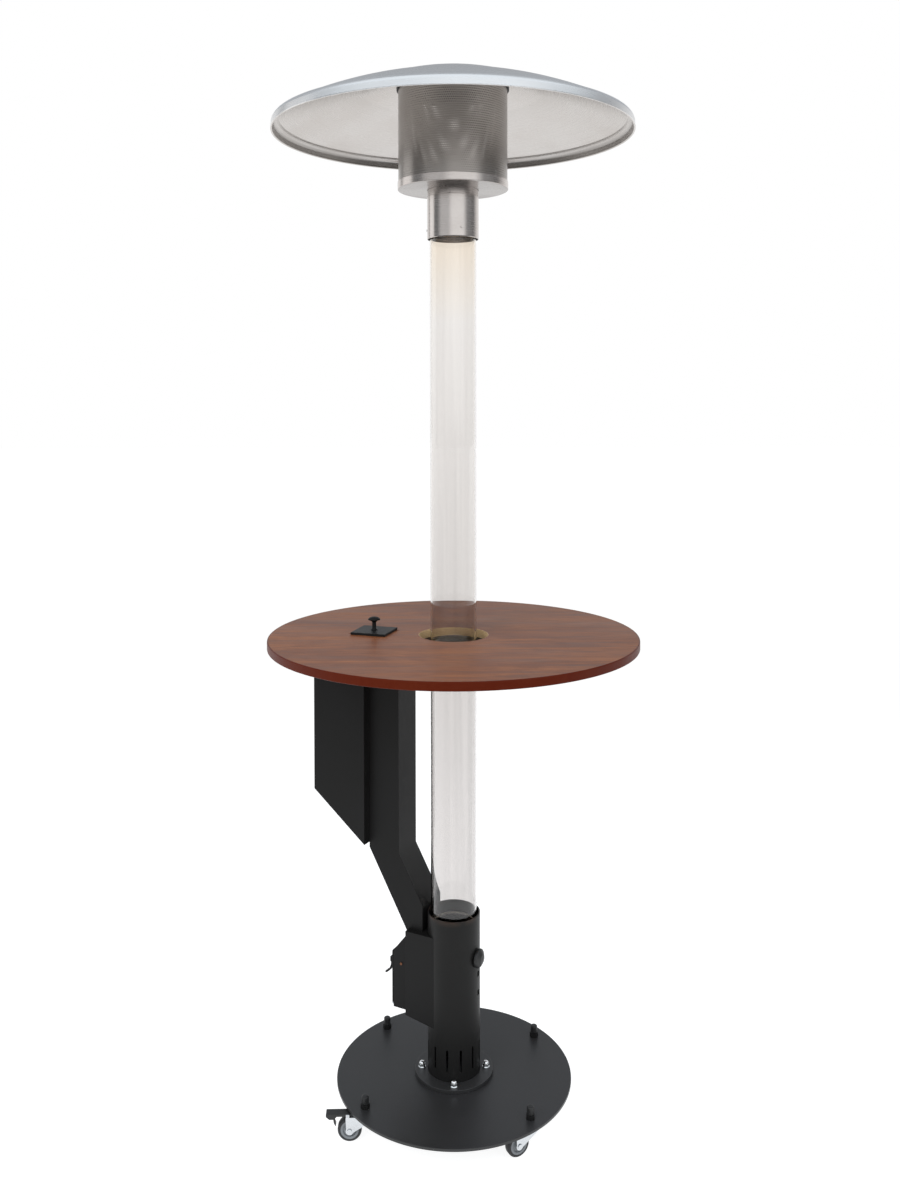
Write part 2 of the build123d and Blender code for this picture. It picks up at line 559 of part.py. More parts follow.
SPACER_R, NUT_R, NUT_H = 6, 5.8, 5
STUD_FOOT = HEAD_RING_TOP - HEAD_PLATE - NUT_H - 2
STUD_TOP = dome_z(STUD_PITCH + SPACER_R) - REFLECTOR_T
with BuildPart() as reflector_studs:
    with BuildSketch(Plane.XY.offset(STUD_FOOT)):
        with PolarLocations(STUD_PITCH, STUD_COUNT, start_angle=45):
            Circle(REFLECTOR_STUD_R)
    extrude(amount=HEAD_RING_TOP - STUD_FOOT)
    with BuildSketch(Plane.XY.offset(HEAD_RING_TOP)):
        with PolarLocations(STUD_PITCH, STUD_COUNT, start_angle=45):
            Circle(SPACER_R)
    extrude(amount=STUD_TOP - HEAD_RING_TOP)
save(reflector_studs, "reflector_studs")

with BuildPart() as reflector_nuts:
    with BuildSketch(Plane.XY.offset(HEAD_RING_TOP - HEAD_PLATE - NUT_H)):
        with PolarLocations(STUD_PITCH, STUD_COUNT, start_angle=45):
            RegularPolygon(NUT_R, 6)
            Circle(REFLECTOR_STUD_R, mode=Mode.SUBTRACT)
    extrude(amount=NUT_H)
save(reflector_nuts, "reflector_nuts")

# ---------------------------------------------------------------- chute, hopper and filler neck
PORT_LOW, PORT_HIGH, PORT_HALF = HOPPER_LOW_IN + 10, 960, 30
NECK_LOW, NECK_HALF, NECK_WALL = 905, 30, 2
NECK_AXIS = 162

with BuildPart() as feed_chute:
    with Locations(feed_place(CHUTE_AXIS, 0, (KNEE_Z + BRACKET_LOW) / 2)):
        Box(CHUTE_SIDE, CHUTE_SIDE, BRACKET_LOW - KNEE_Z)
        Box(CHUTE_SIDE - 2 * CHUTE_WALL, CHUTE_SIDE - 2 * CHUTE_WALL, BRACKET_LOW - KNEE_Z + 1,
            mode=Mode.SUBTRACT)
    with Locations(feed_place(CHUTE_OUT, 0, (PORT_LOW + PORT_HIGH) / 2)):
        Box(3 * CHUTE_WALL, 2 * PORT_HALF, PORT_HIGH - PORT_LOW, mode=Mode.SUBTRACT)
    with Locations(feed_place(NECK_AXIS, CHUTE_HALF, (NECK_LOW + 14 + BRACKET_LOW - 14) / 2)):
        Box(2 * NECK_HALF - 8, 3 * CHUTE_WALL, BRACKET_LOW - NECK_LOW - 28, mode=Mode.SUBTRACT)

with BuildPart() as chute_slope:
    with BuildSketch(FEED_SIDE):
        with BuildLine():
            Polyline(*chute_profile(0), close=True)
        make_face()
    extrude(amount=CHUTE_HALF, both=True)
    with BuildSketch(FEED_SIDE):
        with BuildLine():
            Polyline(*chute_profile(CHUTE_WALL), close=True)
        make_face()
    extrude(amount=CHUTE_HALF - CHUTE_WALL, both=True, mode=Mode.SUBTRACT)
    with BuildSketch(FEED_SIDE):
        with BuildLine():
            Polyline((0, BOX_LOW_IN), (NOSE_OUT, BOX_LOW_IN), (NOSE_OUT, NOSE_SHOULDER), (BOX_OUT, NOSE_TOP),
                     (BOX_OUT, BOX_TOP), (0, BOX_TOP), close=True)
        make_face()
    extrude(amount=BOX_HALF, both=True, mode=Mode.SUBTRACT)

with feed_chute:
    add(chute_slope.part)
save(feed_chute, "feed_chute")


def hopper_outline():
    """Outline of the hopper as (outward, up)."""
    return [(CHUTE_OUT, HOPPER_LOW_IN), (HOPPER_OUT, HOPPER_LOW_OUT), (HOPPER_OUT, BRACKET_LOW),
            (CHUTE_OUT, BRACKET_LOW)]


with BuildPart() as hopper:
    with BuildSketch(FEED_SIDE):
        with BuildLine():
            Polyline(*hopper_outline(), close=True)
        make_face()
    extrude(amount=HOPPER_HALF, both=True)
    with BuildSketch(FEED_SIDE):
        with BuildLine():
            Polyline(*hopper_outline(), close=True)
        make_face()
        offset(amount=-HOPPER_WALL, kind=Kind.INTERSECTION)
        with Locations(((CHUTE_OUT + HOPPER_OUT) / 2, BRACKET_LOW)):
            Rectangle(HOPPER_OUT - CHUTE_OUT - 2 * HOPPER_WALL, 3 * HOPPER_WALL)
    extrude(amount=HOPPER_HALF - HOPPER_WALL, both=True, mode=Mode.SUBTRACT)
    with Locations(feed_place(CHUTE_OUT, 0, (PORT_LOW + PORT_HIGH) / 2)):
        Box(3 * HOPPER_WALL, 2 * PORT_HALF, PORT_HIGH - PORT_LOW, mode=Mode.SUBTRACT)
save(hopper, "hopper")

NECK_REACH = 94
with BuildPart() as filler_neck:
    with BuildSketch(feed_end(NECK_AXIS)):
        with BuildLine():
            Polyline((CHUTE_HALF, NECK_LOW), (NECK_REACH, BRACKET_LOW - 14), (NECK_REACH, BRACKET_LOW),
                     (CHUTE_HALF, BRACKET_LOW), close=True)
        make_face()
    extrude(amount=NECK_HALF, both=True)
    with BuildSketch(feed_end(NECK_AXIS)):
        with BuildLine():
            Polyline((CHUTE_HALF - 1, NECK_LOW + 3), (CHUTE_HALF, NECK_LOW + 3),
                     (NECK_REACH - NECK_WALL, BRACKET_LOW - 13), (NECK_REACH - NECK_WALL, BRACKET_LOW + 1),
                     (CHUTE_HALF - 1, BRACKET_LOW + 1), close=True)
        make_face()
    extrude(amount=NECK_HALF - NECK_WALL, both=True, mode=Mode.SUBTRACT)
save(filler_neck, "filler_neck")

# ---------------------------------------------------------------- table, its bracket and the filling lid
BRACKET_HOLE_R, BRACKET_RING_R, BRACKET_COLLAR = 62, 96, 12
BRACKET_NEAR, BRACKET_FAR, BRACKET_RIGHT, BRACKET_LEFT = 35, 200, -62, 102
FILL_OUT = LID_X * FEED_X.X + LID_Y * FEED_X.Y
FILL_ACROSS = LID_X * FEED_Y.X + LID_Y * FEED_Y.Y
LID_LOW, LID_TOP = TABLE_TOP - REBATE, TABLE_TOP + LID_PROUD

with BuildPart() as table_bracket:
    with BuildSketch(Plane.XY.offset(BRACKET_LOW)):
        Circle(BRACKET_RING_R)
        with Locations(feed_place((BRACKET_NEAR + BRACKET_FAR) / 2, (BRACKET_LEFT + BRACKET_RIGHT) / 2, 0)):
            Rectangle(BRACKET_FAR - BRACKET_NEAR, BRACKET_LEFT - BRACKET_RIGHT)
        with Locations(feed_place((CHUTE_OUT + HOPPER_OUT) / 2, 0, 0)):
            Rectangle(HOPPER_OUT - CHUTE_OUT, 2 * HOPPER_HALF)
    extrude(amount=BRACKET_T)
    with BuildSketch(Plane.XY.offset(BRACKET_LOW - BRACKET_COLLAR)):
        Circle(BRACKET_HOLE_R + BRACKET_T)
    extrude(amount=BRACKET_COLLAR)
    with BuildSketch(Plane.XY.offset(BRACKET_LOW - BRACKET_COLLAR)):
        Circle(BRACKET_HOLE_R)
    extrude(amount=BRACKET_COLLAR + BRACKET_T, mode=Mode.SUBTRACT)
    with BuildSketch(Plane.XY.offset(BRACKET_LOW)):
        with Locations(feed_place(FILL_OUT, FILL_ACROSS, 0)):
            Rectangle(FILL_SIDE, FILL_SIDE)
    extrude(amount=BRACKET_T, mode=Mode.SUBTRACT)
save(table_bracket, "table_bracket")

with BuildPart() as tabletop:
    with BuildSketch(Plane.XY.offset(TABLE_LOW)):
        Circle(TABLE_R)
        Circle(TABLE_HOLE_R, mode=Mode.SUBTRACT)
    extrude(amount=TABLE_T)
    fillet(tabletop.edges().filter_by(GeomType.CIRCLE).group_by(SortBy.RADIUS)[-1], 1.5)
    with Locations(feed_place(FILL_OUT, FILL_ACROSS, TABLE_TOP - TABLE_T / 2)):
        Box(FILL_SIDE, FILL_SIDE, TABLE_T + 1, mode=Mode.SUBTRACT)
    with BuildSketch(Plane.XY.offset(TABLE_TOP)):
        with Locations((LID_X, LID_Y)):
            Rectangle(LID_SIDE + 2 * REBATE_GAP, LID_SIDE + 2 * REBATE_GAP, rotation=LID_TURN)
    extrude(amount=-REBATE, mode=Mode.SUBTRACT)
save(tabletop, "tabletop")

BRACKET_SCREWS = [(57, 57), (57, -57), (-57, 57), (-57, -57), (150, -50)]
BRACKET_SCREW_R, BRACKET_SCREW_HEAD = 5, 2.4
with BuildPart() as bracket_screws:
    with BuildSketch(Plane.XY.offset(BRACKET_LOW)):
        for out, side in BRACKET_SCREWS:
            with Locations(feed_place(out, side, 0)):
                Circle(BRACKET_SCREW_R)
    extrude(amount=-BRACKET_SCREW_HEAD)
save(bracket_screws, "bracket_screws")

SPIGOT_SIDE, SPIGOT_DEEP, SPIGOT_WALL = 46, 9, 2
LID_CORNER = 1.5
with BuildPart() as fill_lid:
    with BuildSketch(Plane.XY.offset(LID_LOW)):
        with Locations((LID_X, LID_Y)):
            RectangleRounded(LID_SIDE, LID_SIDE, LID_CORNER, rotation=LID_TURN)
    extrude(amount=LID_TOP - LID_LOW)
    chamfer(fill_lid.faces().sort_by(Axis.Z)[-1].edges(), 0.6)
    with BuildSketch(Plane.XY.offset(TABLE_TOP - SPIGOT_DEEP)):
        with Locations(feed_place(FILL_OUT, FILL_ACROSS, 0)):
            Rectangle(SPIGOT_SIDE, SPIGOT_SIDE)
            Rectangle(SPIGOT_SIDE - 2 * SPIGOT_WALL, SPIGOT_SIDE - 2 * SPIGOT_WALL, mode=Mode.SUBTRACT)
    extrude(amount=SPIGOT_DEEP - REBATE)
save(fill_lid, "fill_lid")

STEM_R, HEAD_R, HEAD_EDGE, KNOB_HIGH = 4.5, 13.5, 24.5, 29
HEAD_BALL = (HEAD_R ** 2 + (KNOB_HIGH - HEAD_EDGE) ** 2) / (2 * (KNOB_HIGH - HEAD_EDGE))
HEAD_MID_Z = KNOB_HIGH - HEAD_BALL + sqrt(HEAD_BALL ** 2 - (HEAD_R / 2) ** 2)
KNOB_PLANE = Plane(origin=(LID_X, LID_Y, LID_TOP), x_dir=(1, 0, 0), z_dir=(0, -1, 0))
with BuildPart() as lid_knob:
    with BuildSketch(KNOB_PLANE):
        with BuildLine():
            Polyline((0, 0), (7, 0), (7, 1.5), (STEM_R, 3.5), (STEM_R, 19), (HEAD_R, 22), (HEAD_R, HEAD_EDGE))
            ThreePointArc((HEAD_R, HEAD_EDGE), (HEAD_R / 2, HEAD_MID_Z), (0, KNOB_HIGH))
            Line((0, KNOB_HIGH), (0, 0))
        make_face()
    revolve(axis=Axis((LID_X, LID_Y, 0), (0, 0, 1)))
save(lid_knob, "lid_knob")

# ---------------------------------------------------------------- castors
FORK_TOP_LOW, FORK_TOP_T, RACE_R, RACE_T = 51, 2, 17, 2
FORK_IN, FORK_SHEET = 10, 2
FORK_NOSE, FORK_TAIL = -14, 40
STEM_NECK_R, STEM_HEAD_R, STEM_HEAD_T = 4, 6.5, 2
AXLE_HEAD_R, AXLE_HEAD_T, BOSS_R, HUB_DISH = 5, 2, 7, 4.5
RACE_TOP = FORK_TOP_LOW + FORK_TOP_T + RACE_T
PEDAL_PIN, PEDAL_PIN_R = (36, 56), 1.5


def castor_frame(name, up=0):
    """A castor's own frame: origin under its stem, x along its trail."""
    spot = CASTOR_SPOTS[name]
    trail = radians(CASTOR_TRAILS[name])
    return Plane(origin=(spot.X, spot.Y, up), x_dir=(cos(trail), sin(trail), 0), z_dir=(0, 0, 1))


def castor_side(name, across=0):
    """A vertical plane along a castor's trail, drawn as (trail, up), facing to its right."""
    frame = castor_frame(name)
    return Plane(origin=frame.origin - frame.y_dir * across, x_dir=frame.x_dir, z_dir=-frame.y_dir)


with BuildPart() as castor_stems:
    for name in CASTOR_TRAILS:
        with BuildSketch(castor_frame(name, FORK_TOP_LOW - 0.3 - STEM_HEAD_T)):
            Circle(STEM_HEAD_R)
        extrude(amount=STEM_HEAD_T)
        with BuildSketch(castor_frame(name, FORK_TOP_LOW - 0.3)):
            Circle(STEM_NECK_R)
        extrude(amount=RACE_TOP + 0.6 - FORK_TOP_LOW)
        with BuildSketch(castor_frame(name, RACE_TOP + 0.3)):
            Circle(RACE_R - 2)
        extrude(amount=PLATE_LOW - RACE_TOP - 0.3)
        with BuildSketch(castor_frame(name, PLATE_LOW)):
            Circle(STUD_R)
        extrude(amount=PLATE_T + 16)
save(castor_stems, "castor_stems")

STEM_NUT_R, STEM_NUT_H, CAP_R, CAP_LOW, CAP_HIGH = 9.8, 9, 7.5, 76, 92
with BuildPart() as castor_nuts:
    for name in CASTOR_TRAILS:
        with BuildSketch(castor_frame(name, PLATE_TOP)):
            RegularPolygon(STEM_NUT_R, 6)
            Circle(STUD_R, mode=Mode.SUBTRACT)
        extrude(amount=STEM_NUT_H)
save(castor_nuts, "castor_nuts")

with BuildPart() as stud_caps:
    for name in CASTOR_TRAILS:
        with BuildSketch(castor_frame(name, CAP_LOW)):
            Circle(CAP_R)
        extrude(amount=CAP_HIGH - CAP_LOW)
    fillet(stud_caps.edges().group_by(Axis.Z)[-1], 3)
    for name in CASTOR_TRAILS:
        with BuildSketch(castor_frame(name, CAP_LOW)):
            Circle(STUD_R)
        extrude(amount=PLATE_TOP + 16 - CAP_LOW, mode=Mode.SUBTRACT)
save(stud_caps, "stud_caps")


FORK_TOP = FORK_TOP_LOW + FORK_TOP_T
CHEEK = [(FORK_NOSE + 4, FORK_TOP), (FORK_TAIL, FORK_TOP), (FORK_TAIL, FORK_TOP_LOW - 6),
         (WHEEL_TRAIL + 7, WHEEL_R + 2), (WHEEL_TRAIL - 6, WHEEL_R - 4), (FORK_NOSE + 4, FORK_TOP_LOW - 8)]

for name in CASTOR_TRAILS:
    with BuildPart() as castor_fork:
        for across in (-FORK_IN - FORK_SHEET, FORK_IN):
            with BuildSketch(castor_side(name, across)):
                with BuildLine():
                    Polyline(*CHEEK, close=True)
                make_face()
                with Locations((WHEEL_TRAIL, WHEEL_R)):
                    Circle(8)
            extrude(amount=FORK_SHEET)
        with BuildSketch(castor_frame(name, FORK_TOP_LOW)):
            with Locations(((FORK_NOSE + FORK_TAIL) / 2 + 2, 0)):
                Rectangle(FORK_TAIL - FORK_NOSE - 4, 2 * FORK_IN + 2 * FORK_SHEET)
            Circle(RACE_R)
        extrude(amount=FORK_TOP_T)
        with BuildSketch(castor_frame(name, FORK_TOP_LOW + FORK_TOP_T)):
            Circle(RACE_R)
        extrude(amount=RACE_T)
        if name in BRAKED:
            for across in (-FORK_IN - FORK_SHEET, FORK_IN):
                with BuildSketch(castor_side(name, across)):
                    with Locations((PEDAL_PIN[0], PEDAL_PIN[1] - 1)):
                        Rectangle(7, 7.6)
                extrude(amount=FORK_SHEET)
        with BuildSketch(castor_frame(name, 0)):
            Circle(STEM_NECK_R + RUN)
        extrude(amount=THROUGH, mode=Mode.SUBTRACT)
        with BuildSketch(castor_side(name)):
            with Locations((WHEEL_TRAIL, WHEEL_R)):
                Circle(AXLE_R)
            with Locations(PEDAL_PIN):
                Circle(PEDAL_PIN_R)
        extrude(amount=THROUGH, both=True, mode=Mode.SUBTRACT)
    save(castor_fork, f"castor_fork_{name}")

    with BuildPart() as castor_axle:
        with BuildSketch(castor_side(name, -FORK_IN - FORK_SHEET)):
            with Locations((WHEEL_TRAIL, WHEEL_R)):
                Circle(AXLE_R)
        extrude(amount=2 * (FORK_IN + FORK_SHEET))
        for across in (-FORK_IN - FORK_SHEET - AXLE_HEAD_T, FORK_IN + FORK_SHEET):
            with BuildSketch(castor_side(name, across)):
                with Locations((WHEEL_TRAIL, WHEEL_R)):
                    Circle(AXLE_HEAD_R)
            extrude(amount=AXLE_HEAD_T)
        if name in BRAKED:
            with BuildSketch(castor_side(name)):
                with Locations(PEDAL_PIN):
                    Circle(PEDAL_PIN_R)
            extrude(amount=FORK_IN + FORK_SHEET, both=True)
    save(castor_axle, f"castor_axle_{name}")

    with BuildPart() as wheel_hub:
        with BuildSketch(castor_side(name, -FORK_IN + 0.5)):
            with Locations((WHEEL_TRAIL, WHEEL_R)):
                Circle(BOSS_R)
        extrude(amount=2 * FORK_IN - 1)
        with BuildSketch(castor_side(name, -WHEEL_W / 2)):
            with Locations((WHEEL_TRAIL, WHEEL_R)):
                Circle(HUB_R)
        extrude(amount=WHEEL_W)
        for across, depth in ((-FORK_IN, HUB_DISH), (FORK_IN, -HUB_DISH)):
            with BuildSketch(castor_side(name, across)):
                with Locations((WHEEL_TRAIL, WHEEL_R)):
                    Circle(HUB_R - 2)
                    Circle(BOSS_R, mode=Mode.SUBTRACT)
            extrude(amount=depth, mode=Mode.SUBTRACT)
        with BuildSketch(castor_side(name)):
            with Locations((WHEEL_TRAIL, WHEEL_R)):
                Circle(AXLE_R + RUN)
        extrude(amount=THROUGH, both=True, mode=Mode.SUBTRACT)
    save(wheel_hub, f"wheel_hub_{name}")

    with BuildPart() as wheel_tyre:
        with BuildSketch(castor_side(name, -WHEEL_W / 2)):
            with Locations((WHEEL_TRAIL, WHEEL_R)):
                Circle(WHEEL_R)
        extrude(amount=WHEEL_W)
        fillet(wheel_tyre.edges().filter_by(GeomType.CIRCLE), 3)
        with BuildSketch(castor_side(name)):
            with Locations((WHEEL_TRAIL, WHEEL_R)):
                Circle(HUB_R)
        extrude(amount=THROUGH, both=True, mode=Mode.SUBTRACT)
    save(wheel_tyre, f"wheel_tyre_{name}")

# Outlines of the brake pedal and of its shoe behind the tyre, as (trail, up).
PEDAL_LOW, PEDAL_TOP, PEDAL_BELLY = 54, PLATE_LOW - 1.2, 48
PEDAL_NEAR, PEDAL_END, SHOE_HALF = 31, 81, 7
PEDAL = [(PEDAL_NEAR, PEDAL_LOW), (PEDAL_NEAR, PEDAL_TOP), (PEDAL_END, PEDAL_TOP), (PEDAL_END, PEDAL_LOW),
         (PEDAL_END - 7, PEDAL_BELLY), (64, PEDAL_BELLY), (59, PEDAL_LOW)]
SHOE = [(62, PEDAL_BELLY), (66, PEDAL_BELLY), (65, 40), (61.5, 33), (60.3, 33.6), (63, 40)]

for name in BRAKED:
    with BuildPart() as brake_pedal:
        with BuildSketch(castor_side(name)):
            with BuildLine():
                Polyline(*PEDAL, close=True)
            make_face()
        extrude(amount=FORK_IN - GAP, both=True)
        with BuildSketch(castor_side(name)):
            with BuildLine():
                Polyline(*SHOE, close=True)
            make_face()
        extrude(amount=SHOE_HALF, both=True)
        with BuildSketch(castor_side(name)):
            with Locations(PEDAL_PIN):
                Circle(PEDAL_PIN_R + RUN)
        extrude(amount=THROUGH, both=True, mode=Mode.SUBTRACT)
    save(brake_pedal, f"brake_pedal_{name}")
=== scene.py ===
import json
import math

import bmesh
import bpy
from mathutils import Matrix, Vector


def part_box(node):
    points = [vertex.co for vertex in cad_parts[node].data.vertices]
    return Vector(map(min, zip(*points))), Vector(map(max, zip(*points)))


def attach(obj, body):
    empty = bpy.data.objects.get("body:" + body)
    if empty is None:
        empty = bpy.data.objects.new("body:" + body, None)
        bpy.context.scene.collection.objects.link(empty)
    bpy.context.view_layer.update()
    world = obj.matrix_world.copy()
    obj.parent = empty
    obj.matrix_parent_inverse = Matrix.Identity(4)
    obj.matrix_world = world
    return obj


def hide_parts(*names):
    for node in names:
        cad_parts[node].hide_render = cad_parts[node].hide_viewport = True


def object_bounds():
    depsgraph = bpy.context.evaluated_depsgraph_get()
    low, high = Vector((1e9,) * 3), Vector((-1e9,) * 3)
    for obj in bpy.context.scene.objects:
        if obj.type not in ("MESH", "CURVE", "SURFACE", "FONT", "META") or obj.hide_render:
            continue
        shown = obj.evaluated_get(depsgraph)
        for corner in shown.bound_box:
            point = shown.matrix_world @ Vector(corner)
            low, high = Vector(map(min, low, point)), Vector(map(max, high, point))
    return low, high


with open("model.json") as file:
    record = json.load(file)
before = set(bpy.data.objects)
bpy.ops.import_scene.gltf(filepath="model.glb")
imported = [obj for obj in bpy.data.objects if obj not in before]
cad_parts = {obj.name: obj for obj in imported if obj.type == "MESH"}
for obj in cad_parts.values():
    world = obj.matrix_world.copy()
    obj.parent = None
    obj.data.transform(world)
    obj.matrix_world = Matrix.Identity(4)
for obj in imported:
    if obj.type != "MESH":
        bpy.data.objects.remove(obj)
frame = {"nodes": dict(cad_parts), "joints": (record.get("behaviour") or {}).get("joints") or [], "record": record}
cad_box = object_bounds()
nodes = frame["nodes"]
bodies_of = {node: body for body, members in frame["record"]["behaviour"]["bodies"].items()
             for node in members}
slots_of = {part["node"]: part["material_slot"] for part in frame["record"]["subparts"]}
joints = {joint["name"]: joint for joint in frame["joints"]}
MM = 0.001
TURN = 2 * math.pi


# ---------------------------------------------------------------- shader helpers
class Nodes:
    """Short ways to add nodes to a node tree."""

    def __init__(self, tree):
        self.tree = tree

    def plug(self, value, socket):
        """Link an output, or set a plain value."""
        if isinstance(value, bpy.types.NodeSocket):
            self.tree.links.new(value, socket)
        else:
            socket.default_value = value

    def node(self, kind, links=None, **props):
        made = self.tree.nodes.new(kind)
        for name, value in props.items():
            setattr(made, name, value)
        for name, value in (links or {}).items():
            self.plug(value, made.inputs[name])
        return made

    def math(self, operation, a, b=0.0):
        return self.node("ShaderNodeMath", {0: a, 1: b}, operation=operation).outputs[0]

    def split(self, vector):
        return tuple(self.node("ShaderNodeSeparateXYZ", {0: vector}).outputs)

    def length(self, x, y):
        """Length of the flat vector (x, y)."""
        return self.math("SQRT", self.math("ADD", self.math("MULTIPLY", x, x), self.math("MULTIPLY", y, y)))

    def seen_plainly(self):
        """1 for what is seen directly or through glass, 0 for what is mirrored or gives light."""
        rays = self.node("ShaderNodeLightPath").outputs
        return self.math("MAXIMUM", rays["Is Camera Ray"], rays["Is Transmission Ray"])

    def ramp(self, factor, *stops):
        """A colour ramp; each stop is a place and a grey level or a colour."""
        made = self.node("ShaderNodeValToRGB", {"Fac": factor})
        ramp = made.color_ramp
        while len(ramp.elements) < len(stops):
            ramp.elements.new(0.5)
        for element, (place, colour) in zip(ramp.elements, stops):
            element.position = place
            element.color = (*colour, 1) if isinstance(colour, tuple) else (colour, colour, colour, 1)
        return made.outputs["Color"]

    def mix(self, factor, a, b):
        made = self.node("ShaderNodeMix", data_type="RGBA")
        self.plug(factor, made.inputs["Factor"])
        for value, socket in ((a, made.inputs[6]), (b, made.inputs[7])):
            self.plug((*value, 1) if isinstance(value, tuple) else value, socket)
        return made.outputs[2]

    def span(self, value, low, high, to_low=0.0, to_high=1.0):
        made = self.node("ShaderNodeMapRange", {"Value": value, "From Min": low, "From Max": high,
                                                "To Min": to_low, "To Max": to_high})
        return made.outputs[0]


class Shader(Nodes):
    """One node material built on a Principled shader, in the object's own coordinates."""

    def __init__(self, name):
        self.material = bpy.data.materials.new(name)
        self.material.use_nodes = True
        super().__init__(self.material.node_tree)
        self.bsdf = self.tree.nodes["Principled BSDF"]
        self.coords = self.tree.nodes.new("ShaderNodeTexCoord").outputs["Object"]

    def set(self, **values):
        """Set the shader's own sockets; an underscore in a name stands for a space."""
        for name, value in values.items():
            self.bsdf.inputs[name.replace("_", " ")].default_value = value
        return self

    def axes(self):
        return self.split(self.coords)

    def radius(self):
        """Distance from the object's upright axis."""
        x, y, _ = self.axes()
        return self.length(x, y)

    def noise(self, scale, stretch=(1, 1, 1), detail=3.0, rough=0.55, offset=(0, 0, 0), distort=0.0):
        place = self.node("ShaderNodeMapping", {"Vector": self.coords, "Scale": stretch, "Location": offset})
        made = self.node("ShaderNodeTexNoise", {"Vector": place.outputs[0], "Scale": scale,
                                                "Detail": detail, "Roughness": rough,
                                                "Distortion": distort})
        return made.outputs["Fac"]

    def bump(self, height, depth, strength=1.0, under=None):
        made = self.node("ShaderNodeBump", {"Height": height, "Distance": depth, "Strength": strength})
        if under is not None:
            self.plug(under, made.inputs["Normal"])
        return made.outputs["Normal"]

    def finish(self, colour=None, rough=None, normal=None):
        for value, name in ((colour, "Base Color"), (rough, "Roughness"), (normal, "Normal")):
            if value is not None:
                self.plug(value, self.bsdf.inputs[name])
        return self.material


DUST_TINT = (1.15, 1.15, 1.2)
PAINTED_LIP_SHEEN = (0.80, 0.79, 0.78)          # painted sheen on the reflector's outward-facing lip
RIM_IN, RIM_OUT = 0.3965, 0.3985       # where the table's sealed rim begins and is full
PLY = 0.0036                           # one ply of the table


def powder_coat(name, colour, rough=0.44, specular=0.13):
    """Fine-textured powder coat: orange-peel bump and faint dust."""
    s = Shader(name).set(Specular_IOR_Level=specular)
    grain = s.noise(1500, detail=2)
    peel = s.noise(260, detail=2)
    cloud = s.noise(7, detail=4)
    light = tuple(a * b for a, b in zip(colour, DUST_TINT))
    base = s.mix(s.span(cloud, 0.35, 0.7), colour, light)
    base = s.mix(s.span(grain, 0.62, 0.8, 0, 0.35), base, tuple(min(1, c * 2.2) for c in colour))
    roughness = s.span(s.math("ADD", s.math("MULTIPLY", grain, 0.5), s.math("MULTIPLY", cloud, 0.5)),
                       0.3, 0.7, rough - 0.07, rough + 0.08)
    normal = s.bump(grain, 0.00010, 0.5)
    return s.finish(base, roughness, s.bump(peel, 0.00012, 0.35, normal))


def brushed(name, colour, rough, along="round", lines=3200, warm=None):
    """Brushed or spun metal; its lines stack up the axis ("round") or lie as rings about it ("rings")."""
    s = Shader(name).set(Metallic=1.0, Anisotropic=0.5, Anisotropic_Rotation=0.25)
    x, y, z = s.axes()
    if along == "round":
        spread, across = 14, z
    else:
        spread, across = 5, s.radius()
    place = s.node("ShaderNodeCombineXYZ", {0: s.math("MULTIPLY", x, spread),
                                            1: s.math("MULTIPLY", y, spread),
                                            2: s.math("MULTIPLY", across, lines)}).outputs[0]
    lines_fac = s.node("ShaderNodeTexNoise", {"Vector": place, "Scale": 1.0, "Detail": 4.0,
                                              "Roughness": 0.7}).outputs["Fac"]
    cloud = s.noise(9, detail=4)
    dark = tuple(c * 0.9 for c in colour)
    base = s.mix(s.span(lines_fac, 0.35, 0.65), dark, colour)
    base = s.mix(s.span(cloud, 0.4, 0.75, 0, 0.4), base, warm or dark)
    uneven = s.math("ADD", s.math("MULTIPLY", lines_fac, 0.6), s.math("MULTIPLY", cloud, 0.4))
    roughness = s.span(uneven, 0.35, 0.65, rough - 0.06, rough + 0.07)
    face_x, face_y, face_z = s.split(s.node("ShaderNodeNewGeometry").outputs["Normal"])
    if along == "round":       # painted shade: darker where the surface faces down
        base = s.mix(s.span(face_z, -0.5, -0.9), base, tuple(c * 0.5 for c in colour))
    else:                      # painted sheen where the sheet faces out, painted shade where it faces the axis
        outward = s.math("DIVIDE", s.math("ADD", s.math("MULTIPLY", face_x, x),
                                          s.math("MULTIPLY", face_y, y)),
                         s.math("MAXIMUM", s.radius(), 0.01))
        base = s.mix(s.span(outward, 0.32, 0.5), base, PAINTED_LIP_SHEEN)
        base = s.mix(s.span(outward, -0.5, -0.9, 0, 0.6), base, tuple(c * 0.4 for c in colour))
    tangent = s.node("ShaderNodeTangent", direction_type="RADIAL", axis="Z").outputs[0]
    s.plug(tangent, s.bsdf.inputs["Tangent"])
    return s.finish(base, roughness, s.bump(lines_fac, 0.00001, 0.3))


def plain_metal(name, colour, rough, grain=500, depth=0.00002, spots=0.25):
    """Plated or polished metal with faint handling marks."""
    s = Shader(name).set(Metallic=1.0)
    fine = s.noise(grain, detail=3)
    cloud = s.noise(30, detail=5)
    base = s.mix(s.span(cloud, 0.4, 0.7, 0, spots), colour, tuple(c * 0.72 for c in colour))
    roughness = s.span(s.math("ADD", s.math("MULTIPLY", fine, 0.4), s.math("MULTIPLY", cloud, 0.6)),
                       0.35, 0.7, max(0.02, rough - 0.05), rough + 0.08)
    return s.finish(base, roughness, s.bump(fine, depth, 0.5))


